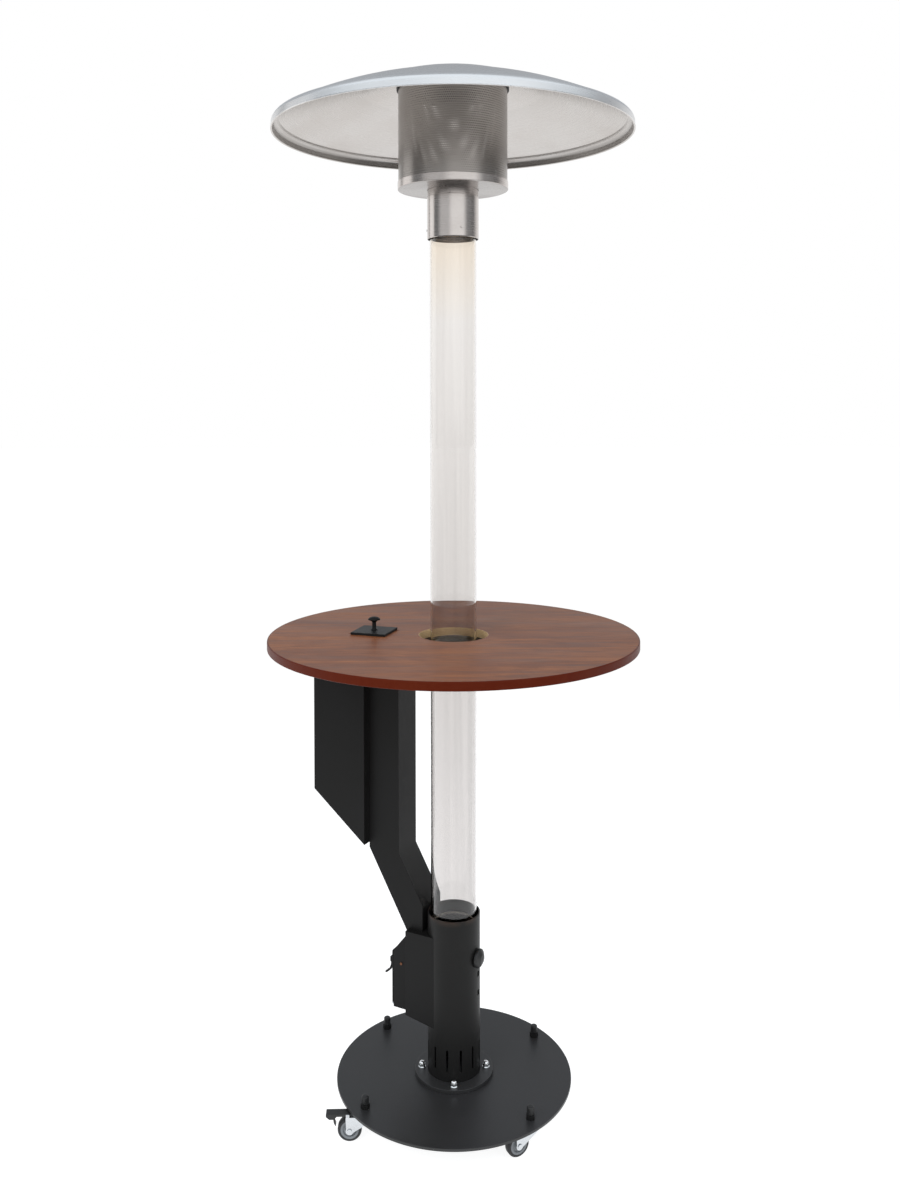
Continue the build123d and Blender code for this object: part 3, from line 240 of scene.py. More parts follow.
def moulded(name, colour, rough, texture=700, depth=0.00006, specular=0.4):
    """Moulded plastic or rubber with a fine spark texture and dusty highlights."""
    s = Shader(name).set(Specular_IOR_Level=specular)
    fine = s.noise(texture, detail=2)
    cloud = s.noise(25, detail=4)
    base = s.mix(s.span(cloud, 0.4, 0.75), colour, tuple(min(1, c * 1.5 + 0.004) for c in colour))
    roughness = s.span(cloud, 0.3, 0.7, rough - 0.06, rough + 0.08)
    return s.finish(base, roughness, s.bump(fine, depth, 0.5))


def stained_wood(name, hole_radius, low):
    """Red-brown stained plywood: grain along X, dark sealed rim, raw golden plies in the centre hole."""
    s = Shader(name).set(Specular_IOR_Level=0.10)
    _, _, z = s.axes()
    warp = s.noise(4.5, (0.8, 1.8, 1.0), 5, 0.6, distort=0.8)
    bands = s.noise(9, (0.4, 4.2, 1.0), 6, 0.66, distort=0.7)
    fibre = s.noise(95, (0.22, 9.0, 1.0), 4, 0.65)
    pores = s.noise(330, (0.06, 3.4, 1.0), 2, 0.5, (3, 1, 0))
    deep, mid, pale = (0.105, 0.028, 0.010), (0.215, 0.068, 0.024), (0.37, 0.140, 0.055)
    base = s.ramp(bands, (0.32, deep), (0.5, mid), (0.68, pale))
    base = s.mix(s.span(warp, 0.42, 0.62, 0, 0.55), base, (0.31, 0.112, 0.042))
    base = s.mix(s.span(warp, 0.47, 0.34, 0, 0.35), base, (0.13, 0.036, 0.013))
    base = s.mix(s.span(fibre, 0.40, 0.64, 0.0, 0.55), base, deep)
    base = s.mix(s.span(pores, 0.57, 0.70, 0.0, 0.7), base, (0.045, 0.012, 0.006))
    radius = s.radius()
    rim = s.span(radius, RIM_IN, RIM_OUT)
    base = s.mix(s.math("MULTIPLY", rim, 0.94), base, (0.085, 0.0085, 0.0018))
    raw = s.math("LESS_THAN", radius, hole_radius)
    plies = s.math("FRACT", s.math("MULTIPLY", s.math("SUBTRACT", z, low), 1 / PLY))
    ply = s.ramp(plies, (0.0, (0.66, 0.42, 0.19)), (0.5, (0.92, 0.66, 0.36)), (0.62, (0.52, 0.30, 0.13)))
    ply = s.mix(s.noise(420, (1, 1, 0.25), 3), ply, (0.95, 0.70, 0.40))
    base = s.mix(raw, base, ply)
    height = s.math("ADD", s.math("MULTIPLY", fibre, 0.5), s.math("MULTIPLY", pores, -0.5))
    roughness = s.span(bands, 0.3, 0.7, 0.34, 0.46)
    return s.finish(base, roughness, s.bump(height, 0.00012, 0.35))


def heat_tinted_coat(name, colour, top):
    """The column's coat, browned by heat along its upper rim."""
    s = Shader(name).set(Specular_IOR_Level=0.16)
    _, _, z = s.axes()
    grain = s.noise(1500, detail=2)
    cloud = s.noise(9, detail=4)
    base = s.mix(s.span(cloud, 0.35, 0.7), colour, tuple(c * 1.15 for c in colour))
    burnt = s.math("MULTIPLY", s.span(z, top - 0.012, top - 0.001), s.span(s.noise(38, detail=3), 0.35, 0.6))
    base = s.mix(s.math("MULTIPLY", burnt, 0.4), base, (0.06, 0.036, 0.024))
    return s.finish(base, s.span(grain, 0.3, 0.7, 0.36, 0.5), s.bump(grain, 0.0001, 0.5))


def clear_glass(name):
    """Glass that is clean above, greyer towards its foot and tinted warm at its top with a painted glow of the
    flame, all evenly round.
    """
    s = Shader(name).set(Transmission_Weight=1.0, IOR=1.47)
    _, _, z = s.axes()
    smear = s.noise(60, (1, 1, 0.02), 3)
    clean, grey_foot, painted_glow = (0.940, 0.925, 0.910), (0.775, 0.755, 0.745), (0.95, 0.74, 0.44)
    # greyer towards the foot, with random streaks
    foot_greyness = s.math("ADD", s.span(z, 1.75, 0.75, 0.0, 0.8), s.span(smear, 0.35, 0.7, 0.0, 0.35))
    tint = s.mix(foot_greyness, clean, grey_foot)
    # painted glow of the flame: a warm tint towards the top
    tint = s.mix(s.span(z, 1.70, 1.895, 0, 0.22), tint, painted_glow)
    return s.finish(tint, 0.0)


def fibre(name, colour):
    """Woven glass-fibre gasket."""
    s = Shader(name)
    strands = s.noise(900, (1, 1, 3), 3)
    base = s.mix(strands, tuple(c * 0.6 for c in colour), colour)
    return s.finish(base, 0.9, s.bump(strands, 0.0003, 0.8))


TABLE_LOW, TABLE_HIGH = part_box("tabletop")
COLUMN_LOW, COLUMN_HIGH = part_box("burner_column")
TABLE_HOLE_R = 0.075
FLOOR_Z = cad_box[0][2]

BLACK = (0.0098, 0.0096, 0.0093)
materials = {
    "black_paint": powder_coat("black_powder_coat", BLACK),
    "grey_paint": powder_coat("graphite_powder_coat", (0.0240, 0.0238, 0.0237), 0.38, 0.38),
    "satin_steel": brushed("brushed_steel", (0.64, 0.600, 0.575), 0.24, warm=(0.54, 0.47, 0.43)),
    "reflector_aluminium": brushed("spun_aluminium", (0.62, 0.59, 0.565), 0.27, "rings", 1500,
                                   (0.55, 0.505, 0.47)),
    "bright_chrome": plain_metal("bright_chrome", (0.95, 0.95, 0.94), 0.12, spots=0.08),
    "zinc_steel": plain_metal("zinc_plate", (0.62, 0.64, 0.66), 0.26, 300, 0.00003),
    "cast_iron": moulded("burnt_iron", (0.03, 0.026, 0.023), 0.7, 260, 0.0003),
    "stained_wood": stained_wood("stained_wood", TABLE_HOLE_R + 0.0006, TABLE_LOW.z),
    "clear_glass": clear_glass("clear_glass"),
    "gasket_fibre": fibre("gasket_fibre", (0.62, 0.58, 0.5)),
    "black_plastic": moulded("black_plastic", (0.012, 0.012, 0.012), 0.42),
    "hub_plastic": moulded("hub_plastic", (0.15, 0.16, 0.17), 0.38),
    "black_rubber": moulded("black_rubber", (0.016, 0.016, 0.017), 0.6, 420, 0.0001),
    "brass_rivet": plain_metal("dull_copper", (0.20, 0.095, 0.055), 0.55),
}
column_coat = heat_tinted_coat("column_coat", BLACK, COLUMN_HIGH.z)
emitter_steel = brushed("heated_steel", (0.42, 0.395, 0.375), 0.30, warm=(0.36, 0.33, 0.30))


# ---------------------------------------------------------------- mesh helpers
def even_normals(piece):
    """Let the large faces rule the shading, so that a flat wall stays flat beside its rounded edges."""
    weighting = piece.modifiers.new("normals", "WEIGHTED_NORMAL")
    weighting.keep_sharp = True
    weighting.weight = 50
    bake_modifiers(piece)


def add_piece(name, mesh):
    piece = bpy.data.objects.new(name, mesh)
    bpy.context.scene.collection.objects.link(piece)
    return piece


def dress(piece, body, slot, material=None, sharp=35):
    """Give a finished piece its shading and material, and put it on its body."""
    piece.data.polygons.foreach_set("use_smooth", [True] * len(piece.data.polygons))
    piece.data.set_sharp_from_angle(angle=math.radians(sharp))
    even_normals(piece)
    piece.data.materials.clear()
    piece.data.materials.append(material or materials[slot])
    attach(piece, body)


def settle(piece, node, **options):
    """Dress a piece that stands for a CAD node, with that node's body and slot."""
    dress(piece, bodies_of[node], slots_of[node], **options)
    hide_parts(node)


def rounded(points, radius, steps=3):
    """Round each corner of an outline; a point may carry its own radius as a third number."""
    out = []
    count = len(points)
    for i, point in enumerate(points):
        here = Vector(point[:2])
        own = point[2] if len(point) > 2 else radius
        if own <= 0:
            out.append(tuple(here))
            continue
        before = Vector(points[i - 1][:2]) - here
        after = Vector(points[(i + 1) % count][:2]) - here
        turn = before.angle(after)
        if turn > math.pi - 0.05:
            out.append(tuple(here))
            continue
        reach = min(own / math.tan(turn / 2), before.length * 0.45, after.length * 0.45)
        start, end = here + before.normalized() * reach, here + after.normalized() * reach
        for k in range(steps + 1):
            t = k / steps
            out.append(tuple(start.lerp(here, t).lerp(here.lerp(end, t), t)))
    return out


def face_outward(mesh):
    """Turn the front of every face to the outside."""
    work = bmesh.new()
    work.from_mesh(mesh)
    bmesh.ops.recalc_face_normals(work, faces=work.faces)
    work.to_mesh(mesh)
    work.free()
    return mesh


def lathe_mesh(name, profile, segments=144, centre=(0, 0)):
    """Turn a closed outline of (radius, height) points round the upright axis at centre."""
    mesh = bpy.data.meshes.new(name)
    verts, rings = [], []
    for radius, height in profile:
        if radius < 1e-7:
            rings.append([len(verts)] * segments)
            verts.append((centre[0], centre[1], height))
        else:
            rings.append(list(range(len(verts), len(verts) + segments)))
            verts += [(centre[0] + radius * math.cos(TURN * k / segments),
                       centre[1] + radius * math.sin(TURN * k / segments), height)
                      for k in range(segments)]
    faces = []
    for ring, after in zip(rings, rings[1:] + rings[:1]):
        for k in range(segments):
            m = (k + 1) % segments
            corners = [ring[k], ring[m], after[m], after[k]]
            unique = [v for n, v in enumerate(corners) if v not in corners[:n]]
            if len(unique) > 2:
                faces.append(unique)
    mesh.from_pydata(verts, [], faces)
    return face_outward(mesh)


def lathe(name, node, profile, fillet=0.0005, segments=144, steps=3, **options):
    """A turned piece that stands for one CAD node."""
    mesh = lathe_mesh(name, rounded(profile, fillet, steps), segments)
    settle(add_piece(name, mesh), node, **options)


def turned(mesh, centre, axis):
    """Move a mesh turned about Z so that its axis runs along another axis through centre."""
    mesh.transform(Matrix.Translation(Vector(centre)) @ Vector((0, 0, 1)).rotation_difference(
        Vector(axis)).to_matrix().to_4x4())
    return mesh


WELD = 0.00002                     # CAD corners nearer than this are one corner
FLAT, EDGE = math.radians(1), math.radians(32)     # faces that merge, and edges that are rounded


def from_cad(name, node, bevel, segments=2):
    """A piece made from its CAD node's shape, with rounded edges that catch the light."""
    mesh = nodes[node].data.copy()
    mesh.name = name
    work = bmesh.new()
    work.from_mesh(mesh)
    bmesh.ops.remove_doubles(work, verts=work.verts, dist=WELD)
    bmesh.ops.dissolve_limit(work, angle_limit=FLAT, verts=work.verts, edges=work.edges)
    work.to_mesh(mesh)
    work.free()
    piece = add_piece(name, mesh)
    rounding = piece.modifiers.new("edge", "BEVEL")
    rounding.width = bevel
    rounding.segments = segments
    rounding.limit_method = "ANGLE"
    rounding.angle_limit = EDGE
    bake_modifiers(piece)
    settle(piece, node)


def bake_modifiers(piece):
    """Replace a piece's mesh by what its modifiers make of it."""
    bpy.context.view_layer.update()
    made = bpy.data.meshes.new_from_object(piece.evaluated_get(bpy.context.evaluated_depsgraph_get()))
    piece.modifiers.clear()
    piece.data = made


def cut(piece, cutters):
    """Cut solid meshes out of a piece."""
    for number, mesh in enumerate(cutters):
        tool = add_piece(f"cutter_{number}", mesh)
        slicing = piece.modifiers.new("cut", "BOOLEAN")
        slicing.operation = "DIFFERENCE"
        slicing.solver = "EXACT"
        slicing.object = tool
        bake_modifiers(piece)
        bpy.data.objects.remove(tool)


def prism_mesh(name, outline, low, high, place):
    """Extrude an outline between two heights, then put it in place."""
    mesh = bpy.data.meshes.new(name)
    count = len(outline)
    verts = [(x, y, low) for x, y in outline] + [(x, y, high) for x, y in outline]
    faces = [list(range(count))[::-1], list(range(count, 2 * count))]
    faces += [[i, (i + 1) % count, (i + 1) % count + count, i + count] for i in range(count)]
    mesh.from_pydata(verts, [], faces)
    mesh.transform(place)
    return mesh


def radial_place(angle, height):
    """A frame whose z points outward from the axis at this angle and whose y points up."""
    out = Vector((math.cos(angle), math.sin(angle), 0))
    side = Vector((-math.sin(angle), math.cos(angle), 0))
    turn = Matrix((side, Vector((0, 0, 1)), out)).transposed().to_4x4()
    return Matrix.Translation((0, 0, height)) @ turn


def slot_outline(width, length, steps=6):
    """Outline of an upright slot with round ends."""
    r, half = width / 2, length / 2 - width / 2
    top = [(r * math.cos(math.pi * k / steps), half + r * math.sin(math.pi * k / steps))
           for k in range(steps + 1)]
    return top + [(-x, -y) for x, y in top]


def rectangle(half_width, half_height, centre=(0, 0)):
    """Outline of a rectangle."""
    x, y = centre
    return [(x - half_width, y - half_height), (x + half_width, y - half_height),
            (x + half_width, y + half_height), (x - half_width, y + half_height)]


# ---------------------------------------------------------------- base and column
plate_low, plate_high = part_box("base_plate")
plate_r = plate_high.x
lathe("base_disc", "base_plate", [(0, plate_low.z), (plate_r, plate_low.z), (plate_r, plate_high.z),
                                  (0, plate_high.z)], 0.0009, 220)

flange_low, flange_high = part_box("column_flange")
column_r = COLUMN_HIGH.x
lathe("foot_flange", "column_flange", [(column_r, flange_low.z), (flange_high.x, flange_low.z),
                                       (flange_high.x, flange_high.z), (column_r, flange_high.z)], 0.001, 144)

COLUMN_WALL = 0.003
FEED_ANGLE = math.radians(152)
KNOB_ANGLE = FEED_ANGLE + math.pi
KNOB_Z = 0.328
column_mesh = lathe_mesh("column_tube", rounded(
    [(column_r - COLUMN_WALL, COLUMN_LOW.z), (column_r, COLUMN_LOW.z), (column_r, COLUMN_HIGH.z, 0.0008),
     (column_r - COLUMN_WALL, COLUMN_HIGH.z, 0.0008)], 0.0002, 3), 192)
column = add_piece("column_tube", column_mesh)
SLOT_COUNT, SLOT_W, SLOT_LOW, SLOT_HIGH = 12, 0.005, 0.094, 0.142
WINDOW_Z, WINDOW_HALF_W, WINDOW_HALF_H = 0.2865, 0.038, 0.0815     # where the burner box opens in
PORT_HALF_W, PORT_HALF_H, PORT_ASIDE, PORT_DROPS = 0.0045, 0.006, 0.006, (0.037, 0.078)
CUT_FROM, CUT_TO = 0.03, 0.07          # radii between which a cutter goes through the wall
cutters = []
for index in range(SLOT_COUNT):
    angle = (index + 0.5) * TURN / SLOT_COUNT
    cutters.append(prism_mesh("slot", slot_outline(SLOT_W, SLOT_HIGH - SLOT_LOW), 0.045, 0.07,
                              radial_place(angle, (SLOT_LOW + SLOT_HIGH) / 2)))
cutters.append(prism_mesh("window", rectangle(WINDOW_HALF_W, WINDOW_HALF_H), CUT_FROM, CUT_TO,
                          radial_place(FEED_ANGLE, WINDOW_Z)))
for drop in PORT_DROPS:
    port = rectangle(PORT_HALF_W, PORT_HALF_H, (PORT_ASIDE, -drop))
    cutters.append(prism_mesh("port", port, CUT_FROM, CUT_TO, radial_place(KNOB_ANGLE, KNOB_Z)))
cut(column, cutters)
settle(column, "burner_column", material=column_coat, sharp=30)

for name, node in (("cap_nuts", "flange_cap_nuts"), ("stem_nuts", "castor_nuts"),
                   ("foot_bolts", "flange_bolts"), ("stem_caps", "stud_caps"), ("stems", "castor_stems")):
    from_cad(name, node, 0.0004)

# ---------------------------------------------------------------- feed side, burner box, door and latch
for name, node, bevel in (
        ("box_shell", "burner_box", 0.0008), ("door_leaf", "lighting_door", 0.0006),
        ("door_knuckles", "door_hinge", 0.0003), ("latch_body", "latch_base", 0.0005),
        ("latch_handle", "latch_lever", 0.0005), ("chute_shell", "feed_chute", 0.0012),
        ("hopper_shell", "hopper", 0.0012), ("neck_shell", "filler_neck", 0.0008),
        ("bracket_plate", "table_bracket", 0.0005), ("lid_plate", "fill_lid", 0.0005),
        ("rivet_heads", "box_rivets", 0.0005),
        ("keeper_strip", "latch_keeper", 0.0003), ("bush_turned", "spindle_bush", 0.0003)):
    from_cad(name, node, bevel)

knob_axis = Vector((math.cos(KNOB_ANGLE), math.sin(KNOB_ANGLE), 0))
knob_foot = min(vertex.co.dot(knob_axis) for vertex in nodes["stirrer_knob"].data.vertices)
dial_line = rounded([(0, 0), (0.020, 0), (0.020, 0.0042, 0.0014), (0.0175, 0.0066, 0.002),
                     (0.009, 0.0112, 0.004), (0, 0.0126)], 0.0005, 4)
dial_spot = knob_axis * knob_foot + Vector((0, 0, KNOB_Z))
dial = turned(lathe_mesh("stir_dial", dial_line, 72), dial_spot, knob_axis)
settle(add_piece("stir_dial", dial), "stirrer_knob")

# ---------------------------------------------------------------- glass, collar and emitter
glass_low, glass_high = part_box("glass_tube")
glass_r, GLASS_WALL = glass_high.x, 0.003
lathe("flame_tube", "glass_tube", [(glass_r - GLASS_WALL, glass_low.z), (glass_r, glass_low.z),
                                   (glass_r, glass_high.z), (glass_r - GLASS_WALL, glass_high.z)],
      0.0008, 160, 3, sharp=60)

collar_low, collar_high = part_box("glass_collar")
collar_r, COLLAR_WALL = collar_high.x, 0.0015
NECK_Z, NECK_R, HEM = 1.9705, collar_r - 0.0009, 0.0004
lathe("collar_sleeve", "glass_collar", [
    (collar_r - COLLAR_WALL, collar_low.z), (collar_r - HEM, collar_low.z), (collar_r, collar_low.z + 0.002),
    (collar_r, NECK_Z - 0.0008), (collar_r - HEM, NECK_Z), (NECK_R, NECK_Z), (NECK_R, collar_high.z),
    (collar_r - COLLAR_WALL, collar_high.z)], 0.0002, 144, 2)

pan_low, pan_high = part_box("emitter_pan")
pan_r = pan_high.x
PAN_T, MESH_R, MESH_T = 0.0015, 0.1174, 0.001
lathe("pan_dish", "emitter_pan", [(collar_r, pan_low.z), (pan_r, pan_low.z, 0.0022), (pan_r, pan_high.z),
                                  (MESH_R, pan_high.z), (MESH_R, pan_low.z + PAN_T),
                                  (collar_r, pan_low.z + PAN_T)], 0.0003, 160, 4)

ring_low, ring_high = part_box("emitter_top")
ring_r, HEAD_PLATE = ring_high.x, 0.002
lathe("head_ring", "emitter_top", [(0, ring_high.z - HEAD_PLATE), (MESH_R, ring_high.z - HEAD_PLATE, 0),
                                   (MESH_R, ring_low.z), (ring_r, ring_low.z), (ring_r, ring_high.z, 0.0012),
                                   (0, ring_high.z)], 0.0003, 160, 3, material=materials["black_paint"])


EMITTER_ACROSS, EMITTER_ROWS, EMITTER_HOLE = 170, 46, 0.24     # holes, rows, hole radius over pitch


def perforated_mesh(name, radius, low, high, across, rows, hole):
    """A tube of thin sheet with staggered round holes."""
    mesh = bpy.data.meshes.new(name)
    columns = 2 * across
    verts, faces, seen = [], [], {}
    step_z = (high - low) / rows

    def place(column, row, r):
        angle = TURN * column / columns
        return (r * math.cos(angle), r * math.sin(angle), low + row * step_z / 2)

    def corner(column, row):
        key = (column % columns, row)
        if key not in seen:
            seen[key] = len(verts)
            verts.append(place(*key, radius))
        return seen[key]

    for row in range(rows):
        for cell in range(across):
            left = 2 * cell + row % 2
            rim = [corner(left + right, 2 * row + up) for right, up in
                   ((0, 0), (1, 0), (2, 0), (2, 1), (2, 2), (1, 2), (0, 2), (0, 1))]
            first = len(verts)
            for k in range(8):
                turn = TURN * (k / 8) - TURN * 3 / 8
                verts.append(place(left + 1 + 2 * hole * math.cos(turn),
                                   2 * row + 1 + 2 * hole * math.sin(turn), radius))
            for k in range(8):
                n = (k + 1) % 8
                faces.append([rim[k], rim[n], first + n, first + k])
    mesh.from_pydata(verts, [], faces)
    return face_outward(mesh)


mesh_low, mesh_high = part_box("emitter_mesh")
emitter_sheet = add_piece("emitter_sheet", perforated_mesh(
    "emitter_sheet", MESH_R - 0.0001, mesh_low.z, mesh_high.z, EMITTER_ACROSS, EMITTER_ROWS, EMITTER_HOLE))
thick = emitter_sheet.modifiers.new("sheet", "SOLIDIFY")
thick.thickness = MESH_T - 0.0003
thick.offset = -1
bake_modifiers(emitter_sheet)
settle(emitter_sheet, "emitter_mesh", sharp=45, material=emitter_steel)

# ---------------------------------------------------------------- reflector
REFLECTOR_R, RIM_Z = 0.388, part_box("reflector")[0].z
LIP, LEAN, BULGE = 0.026, 0.019, 0.005
DOME_R, DOME_FOOT, DOME_TOP, SHEET = 0.196, 0.091, 0.131, 0.0015
BALL = (DOME_R ** 2 + (DOME_TOP - DOME_FOOT) ** 2) / (2 * (DOME_TOP - DOME_FOOT))


def reflector_line(inset):
    """The reflector's outline from its rim to its top, as (radius, height)."""
    lip = [(REFLECTOR_R, 0), (REFLECTOR_R - 0.001, LIP * 0.45)]
    lip += [(REFLECTOR_R - LEAN + (LEAN - 0.001) * math.cos(angle), LIP * (0.45 + 0.55 * math.sin(angle)))
            for angle in (math.radians(step) for step in range(10, 81, 10))]
    line = [(radius - inset, RIM_Z + height * (1 - inset / LIP)) for radius, height in lip]
    foot, top = Vector(lip[-1]), Vector((DOME_R, DOME_FOOT))
    middle = (foot + top) / 2 + Vector((0, BULGE))
    control = 2 * middle - (foot + top) / 2
    for k in range(1, 12):
        spot = foot.lerp(control, k / 12).lerp(control.lerp(top, k / 12), k / 12)
        line.append((spot.x, RIM_Z + spot.y - inset))
    line.append((DOME_R, RIM_Z + DOME_FOOT - inset, 0.003))
    for k in range(1, 13):
        radius = DOME_R * (1 - k / 12)
        line.append((radius, RIM_Z + DOME_TOP - BALL + math.sqrt(BALL ** 2 - radius ** 2) - inset))
    return line


outline = rounded(reflector_line(0) + reflector_line(SHEET)[::-1], 0.0006, 3)
reflector = add_piece("reflector_bowl", lathe_mesh("reflector_bowl", outline, 220))
settle(reflector, "reflector", sharp=40)
HEM_R = 0.0021
hem_line = [(REFLECTOR_R - HEM_R + HEM_R * math.cos(TURN * k / 16),
             RIM_Z + HEM_R + HEM_R * math.sin(TURN * k / 16)) for k in range(16)]
hem = add_piece("reflector_hem", lathe_mesh("reflector_hem", hem_line, 220))
dress(hem, "heater", "reflector_aluminium")

# ---------------------------------------------------------------- table, lid knob
table_r = TABLE_HIGH.x
table = add_piece("table_board", lathe_mesh("table_board", rounded(
    [(TABLE_HOLE_R, TABLE_LOW.z, 0.0006), (table_r, TABLE_LOW.z), (table_r, TABLE_HIGH.z),
     (TABLE_HOLE_R, TABLE_HIGH.z, 0.0006)], 0.0022, 4), 240))
FILL_HALF = 0.025
fill_spot = Matrix.Translation((-0.174, 0.024, 0)) @ Matrix.Rotation(FEED_ANGLE, 4, "Z")
REBATE_HALF, REBATE = 0.0405, 0.0005
BEYOND = 0.01                          # how far a cutter stands out of the board
cut(table, [prism_mesh("fill_hole", rectangle(FILL_HALF, FILL_HALF), TABLE_LOW.z - BEYOND,
                       TABLE_HIGH.z + BEYOND, fill_spot),
            prism_mesh("lid_rebate", rectangle(REBATE_HALF, REBATE_HALF), TABLE_HIGH.z - REBATE,
                       TABLE_HIGH.z + BEYOND, fill_spot)])
settle(table, "tabletop", sharp=40)

knob_low, knob_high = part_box("lid_knob")
knob_centre = ((knob_low.x + knob_high.x) / 2, (knob_low.y + knob_high.y) / 2)
# radius, height and corner radius in millimetres
knob_outline = [(0, 0), (7, 0), (7, 1.4), (5, 2.6, 1), (4.4, 6, 2), (4.3, 17, 3), (8, 21, 3), (13.2, 22, 0.6),
                (13.5, 24.3, 1.5), (9, 27.6, 4), (4.5, 28.8, 4), (0, 29)]
knob_profile = [(p[0] * MM, knob_low.z + p[1] * MM, *(r * MM for r in p[2:])) for p in knob_outline]
knob = add_piece("lid_knob_turned", lathe_mesh("lid_knob_turned", rounded(knob_profile, 0.0005, 3), 64,
                                               centre=knob_centre))
settle(knob, "lid_knob")

# ---------------------------------------------------------------- castors
WHEEL_R, WHEEL_HALF, HUB_R, BORE_R = 0.025, 0.0085, 0.019, 0.00306
tyre_line = rounded([(HUB_R, -WHEEL_HALF), (WHEEL_R - 0.003, -WHEEL_HALF, 0.001),
                     (WHEEL_R, -0.0055, 0.003), (WHEEL_R, 0.0055, 0.003),
                     (WHEEL_R - 0.003, WHEEL_HALF, 0.001), (HUB_R, WHEEL_HALF)], 0.0005, 4)
hub_half = [(BORE_R, 0.0095), (0.007, 0.0095), (0.007, 0.0055, 0.001), (0.0135, 0.0052, 0.001),
            (0.0142, 0.0078, 0.0004), (0.0166, 0.0084, 0.0004), (HUB_R, 0.0080)]
hub_line = rounded([(p[0], -p[1], *p[2:]) for p in hub_half] + hub_half[::-1], 0.0003, 3)
for place in ("front_left", "front_right", "rear_left", "rear_right"):
    roll = joints["roll_" + place]
    centre, axis = roll["pos_m"], roll["axis"]
    tyre = add_piece("tyre_" + place, turned(lathe_mesh("tyre", tyre_line, 72), centre, axis))
    settle(tyre, "wheel_tyre_" + place)
    hub = add_piece("hub_" + place, turned(lathe_mesh("hub", hub_line, 64), centre, axis))
    settle(hub, "wheel_hub_" + place)
    from_cad("fork_" + place, "castor_fork_" + place, 0.0004)
    from_cad("axle_" + place, "castor_axle_" + place, 0.0008, 3)
for place in ("front_left", "rear_right"):
    from_cad("pedal_" + place, "brake_pedal_" + place, 0.0009, 3)

for node, piece in nodes.items():
    piece.data.materials.clear()
    piece.data.materials.append(materials[slots_of[node]])

# ---------------------------------------------------------------- floor, light and camera
floor_mesh = bpy.data.meshes.new("floor")
FLOOR_HALF = 30.0
floor_mesh.from_pydata([(x, y, FLOOR_Z) for x, y in rectangle(FLOOR_HALF, FLOOR_HALF)], [], [[0, 1, 2, 3]])
floor = add_piece("floor", floor_mesh)
floor_shader = Shader("studio_floor").set(Roughness=0.9, Specular_IOR_Level=0.1, Emission_Strength=1.0)
across = floor_shader.span(floor_shader.axes()[1], -2.6, 3.4)      # from the room in front to the backdrop
outward = floor_shader.span(floor_shader.radius(), 1.0, 4.0)       # from under the object to far off
mirrored = floor_shader.ramp(across, (0.0, 0.09), (0.22, 0.86), (0.6, 0.86), (1.0, 1.0))
looked_at = floor_shader.ramp(outward, (0.0, 0.88), (1.0, 1.0))
floor_shader.plug(floor_shader.mix(floor_shader.seen_plainly(), mirrored, looked_at),
                  floor_shader.bsdf.inputs["Emission Color"])
floor_shader.finish(floor_shader.ramp(outward, (0.0, 0.40), (1.0, 0.0)))
floor.data.materials.append(floor_shader.material)

BACK, FRONT, SOFT, DIM = 1.0, 1.25, 0.70, 0.12     # brightness of the studio round the object
SKY, CEILING, LOW = (0.92, 1.00, 1.08), (0.98, 1.06, 1.14), (0.07, 0.068, 0.066)
HIGH_BACK = (0.46, 0.49, 0.53)
# brightness by bearing, in degrees from the camera's side and positive to the right
STUDIO = ((-180, BACK), (-140, BACK), (-130, DIM), (-124, FRONT), (-98, FRONT), (-90, DIM), (-72, DIM),
          (-54, SOFT), (-20, SOFT), (-4, FRONT), (46, FRONT), (66, DIM * 2), (104, DIM), (122, SOFT),
          (138, BACK), (180, BACK))


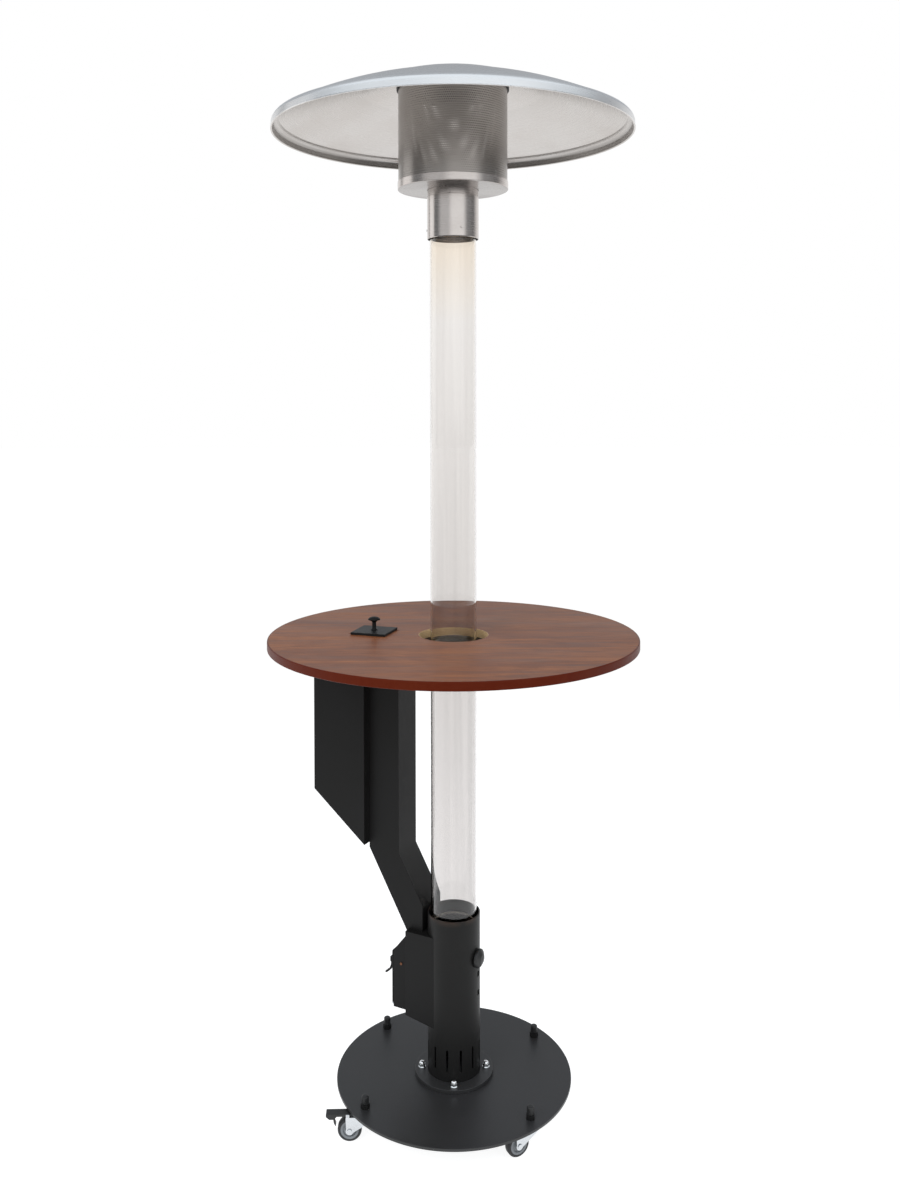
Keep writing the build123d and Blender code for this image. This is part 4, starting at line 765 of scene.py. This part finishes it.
def studio_world():
    """White behind the object, a broad soft front, dark sides that draw the edges of metal and glass."""
    world = bpy.data.worlds.new("studio")
    bpy.context.scene.world = world
    world.use_nodes = True
    w = Nodes(world.node_tree)
    x, y, z = w.split(w.node("ShaderNodeTexCoord").outputs["Generated"])
    flat = w.math("MAXIMUM", w.length(x, y), 0.001)
    ahead = w.math("ADD", w.math("MULTIPLY", w.math("DIVIDE", y, flat), -0.5), 0.5)
    bearing = w.math("ADD", w.math("DIVIDE", w.math("ARCTAN2", x, w.math("MULTIPLY", y, -1.0)), TURN), 0.5)
    around = w.ramp(bearing, *((0.5 + degrees / 360, level) for degrees, level in STUDIO))
    upper = w.ramp(z, (0.30, SKY), (0.55, SKY), (0.92, CEILING), (1.0, CEILING))
    upper = w.mix(w.ramp(ahead, (0.30, 0.0), (0.60, 1.0)), HIGH_BACK, upper)
    lifted = w.ramp(z, (0.20, 0.0), (0.38, 1.0))
    sunk = w.math("MULTIPLY", w.ramp(w.math("MULTIPLY", z, -1.0), (0.01, 0.0), (0.05, 1.0)),
                  w.ramp(ahead, (0.35, 0.0), (0.6, 1.0)))
    mirrored = w.mix(sunk, w.mix(lifted, around, upper), LOW)
    background = w.tree.nodes["Background"].inputs["Color"]
    w.plug(w.mix(w.seen_plainly(), mirrored, (1.0, 1.0, 1.0)), background)


studio_world()


def softbox(name, place, aim, size, power):
    """A rectangular soft light at place, pointed at aim; it isn't mirrored or seen through glass."""
    data = bpy.data.lights.new(name, "AREA")
    data.shape = "RECTANGLE"
    data.size, data.size_y = size
    data.energy = power
    light = bpy.data.objects.new(name, data)
    bpy.context.scene.collection.objects.link(light)
    light.location = place
    light.rotation_euler = (Vector(aim) - Vector(place)).to_track_quat("-Z", "Y").to_euler()
    light.visible_camera = False
    light.visible_glossy = False
    light.visible_transmission = False


softbox("key_box", (-1.8, -2.6, 3.0), (0, 0, 1.0), (1.8, 2.2), 55)
softbox("fill_box", (2.4, -2.2, 2.2), (0, 0, 0.9), (1.6, 2.2), 14)

camera_data = bpy.data.cameras.new("camera")
camera = bpy.data.objects.new("camera", camera_data)
bpy.context.scene.collection.objects.link(camera)
camera_data.sensor_width = 36.0
camera_data.lens = 33.135
camera_data.shift_y = -0.15
camera_data.clip_end = 100.0
EYE = (0.0027, -2.3888, 1.5431)
PITCH, YAW, ROLL = 0.02192, -0.00402, -0.00137      # in radians: down, right, tilt
camera.matrix_world = (Matrix.Translation(EYE) @ Matrix.Rotation(-YAW, 4, "Z")
                       @ Matrix.Rotation(math.pi / 2 - PITCH, 4, "X") @ Matrix.Rotation(ROLL, 4, "Z"))
bpy.context.scene.camera = camera
bpy.context.scene.view_settings.view_transform = "Standard"
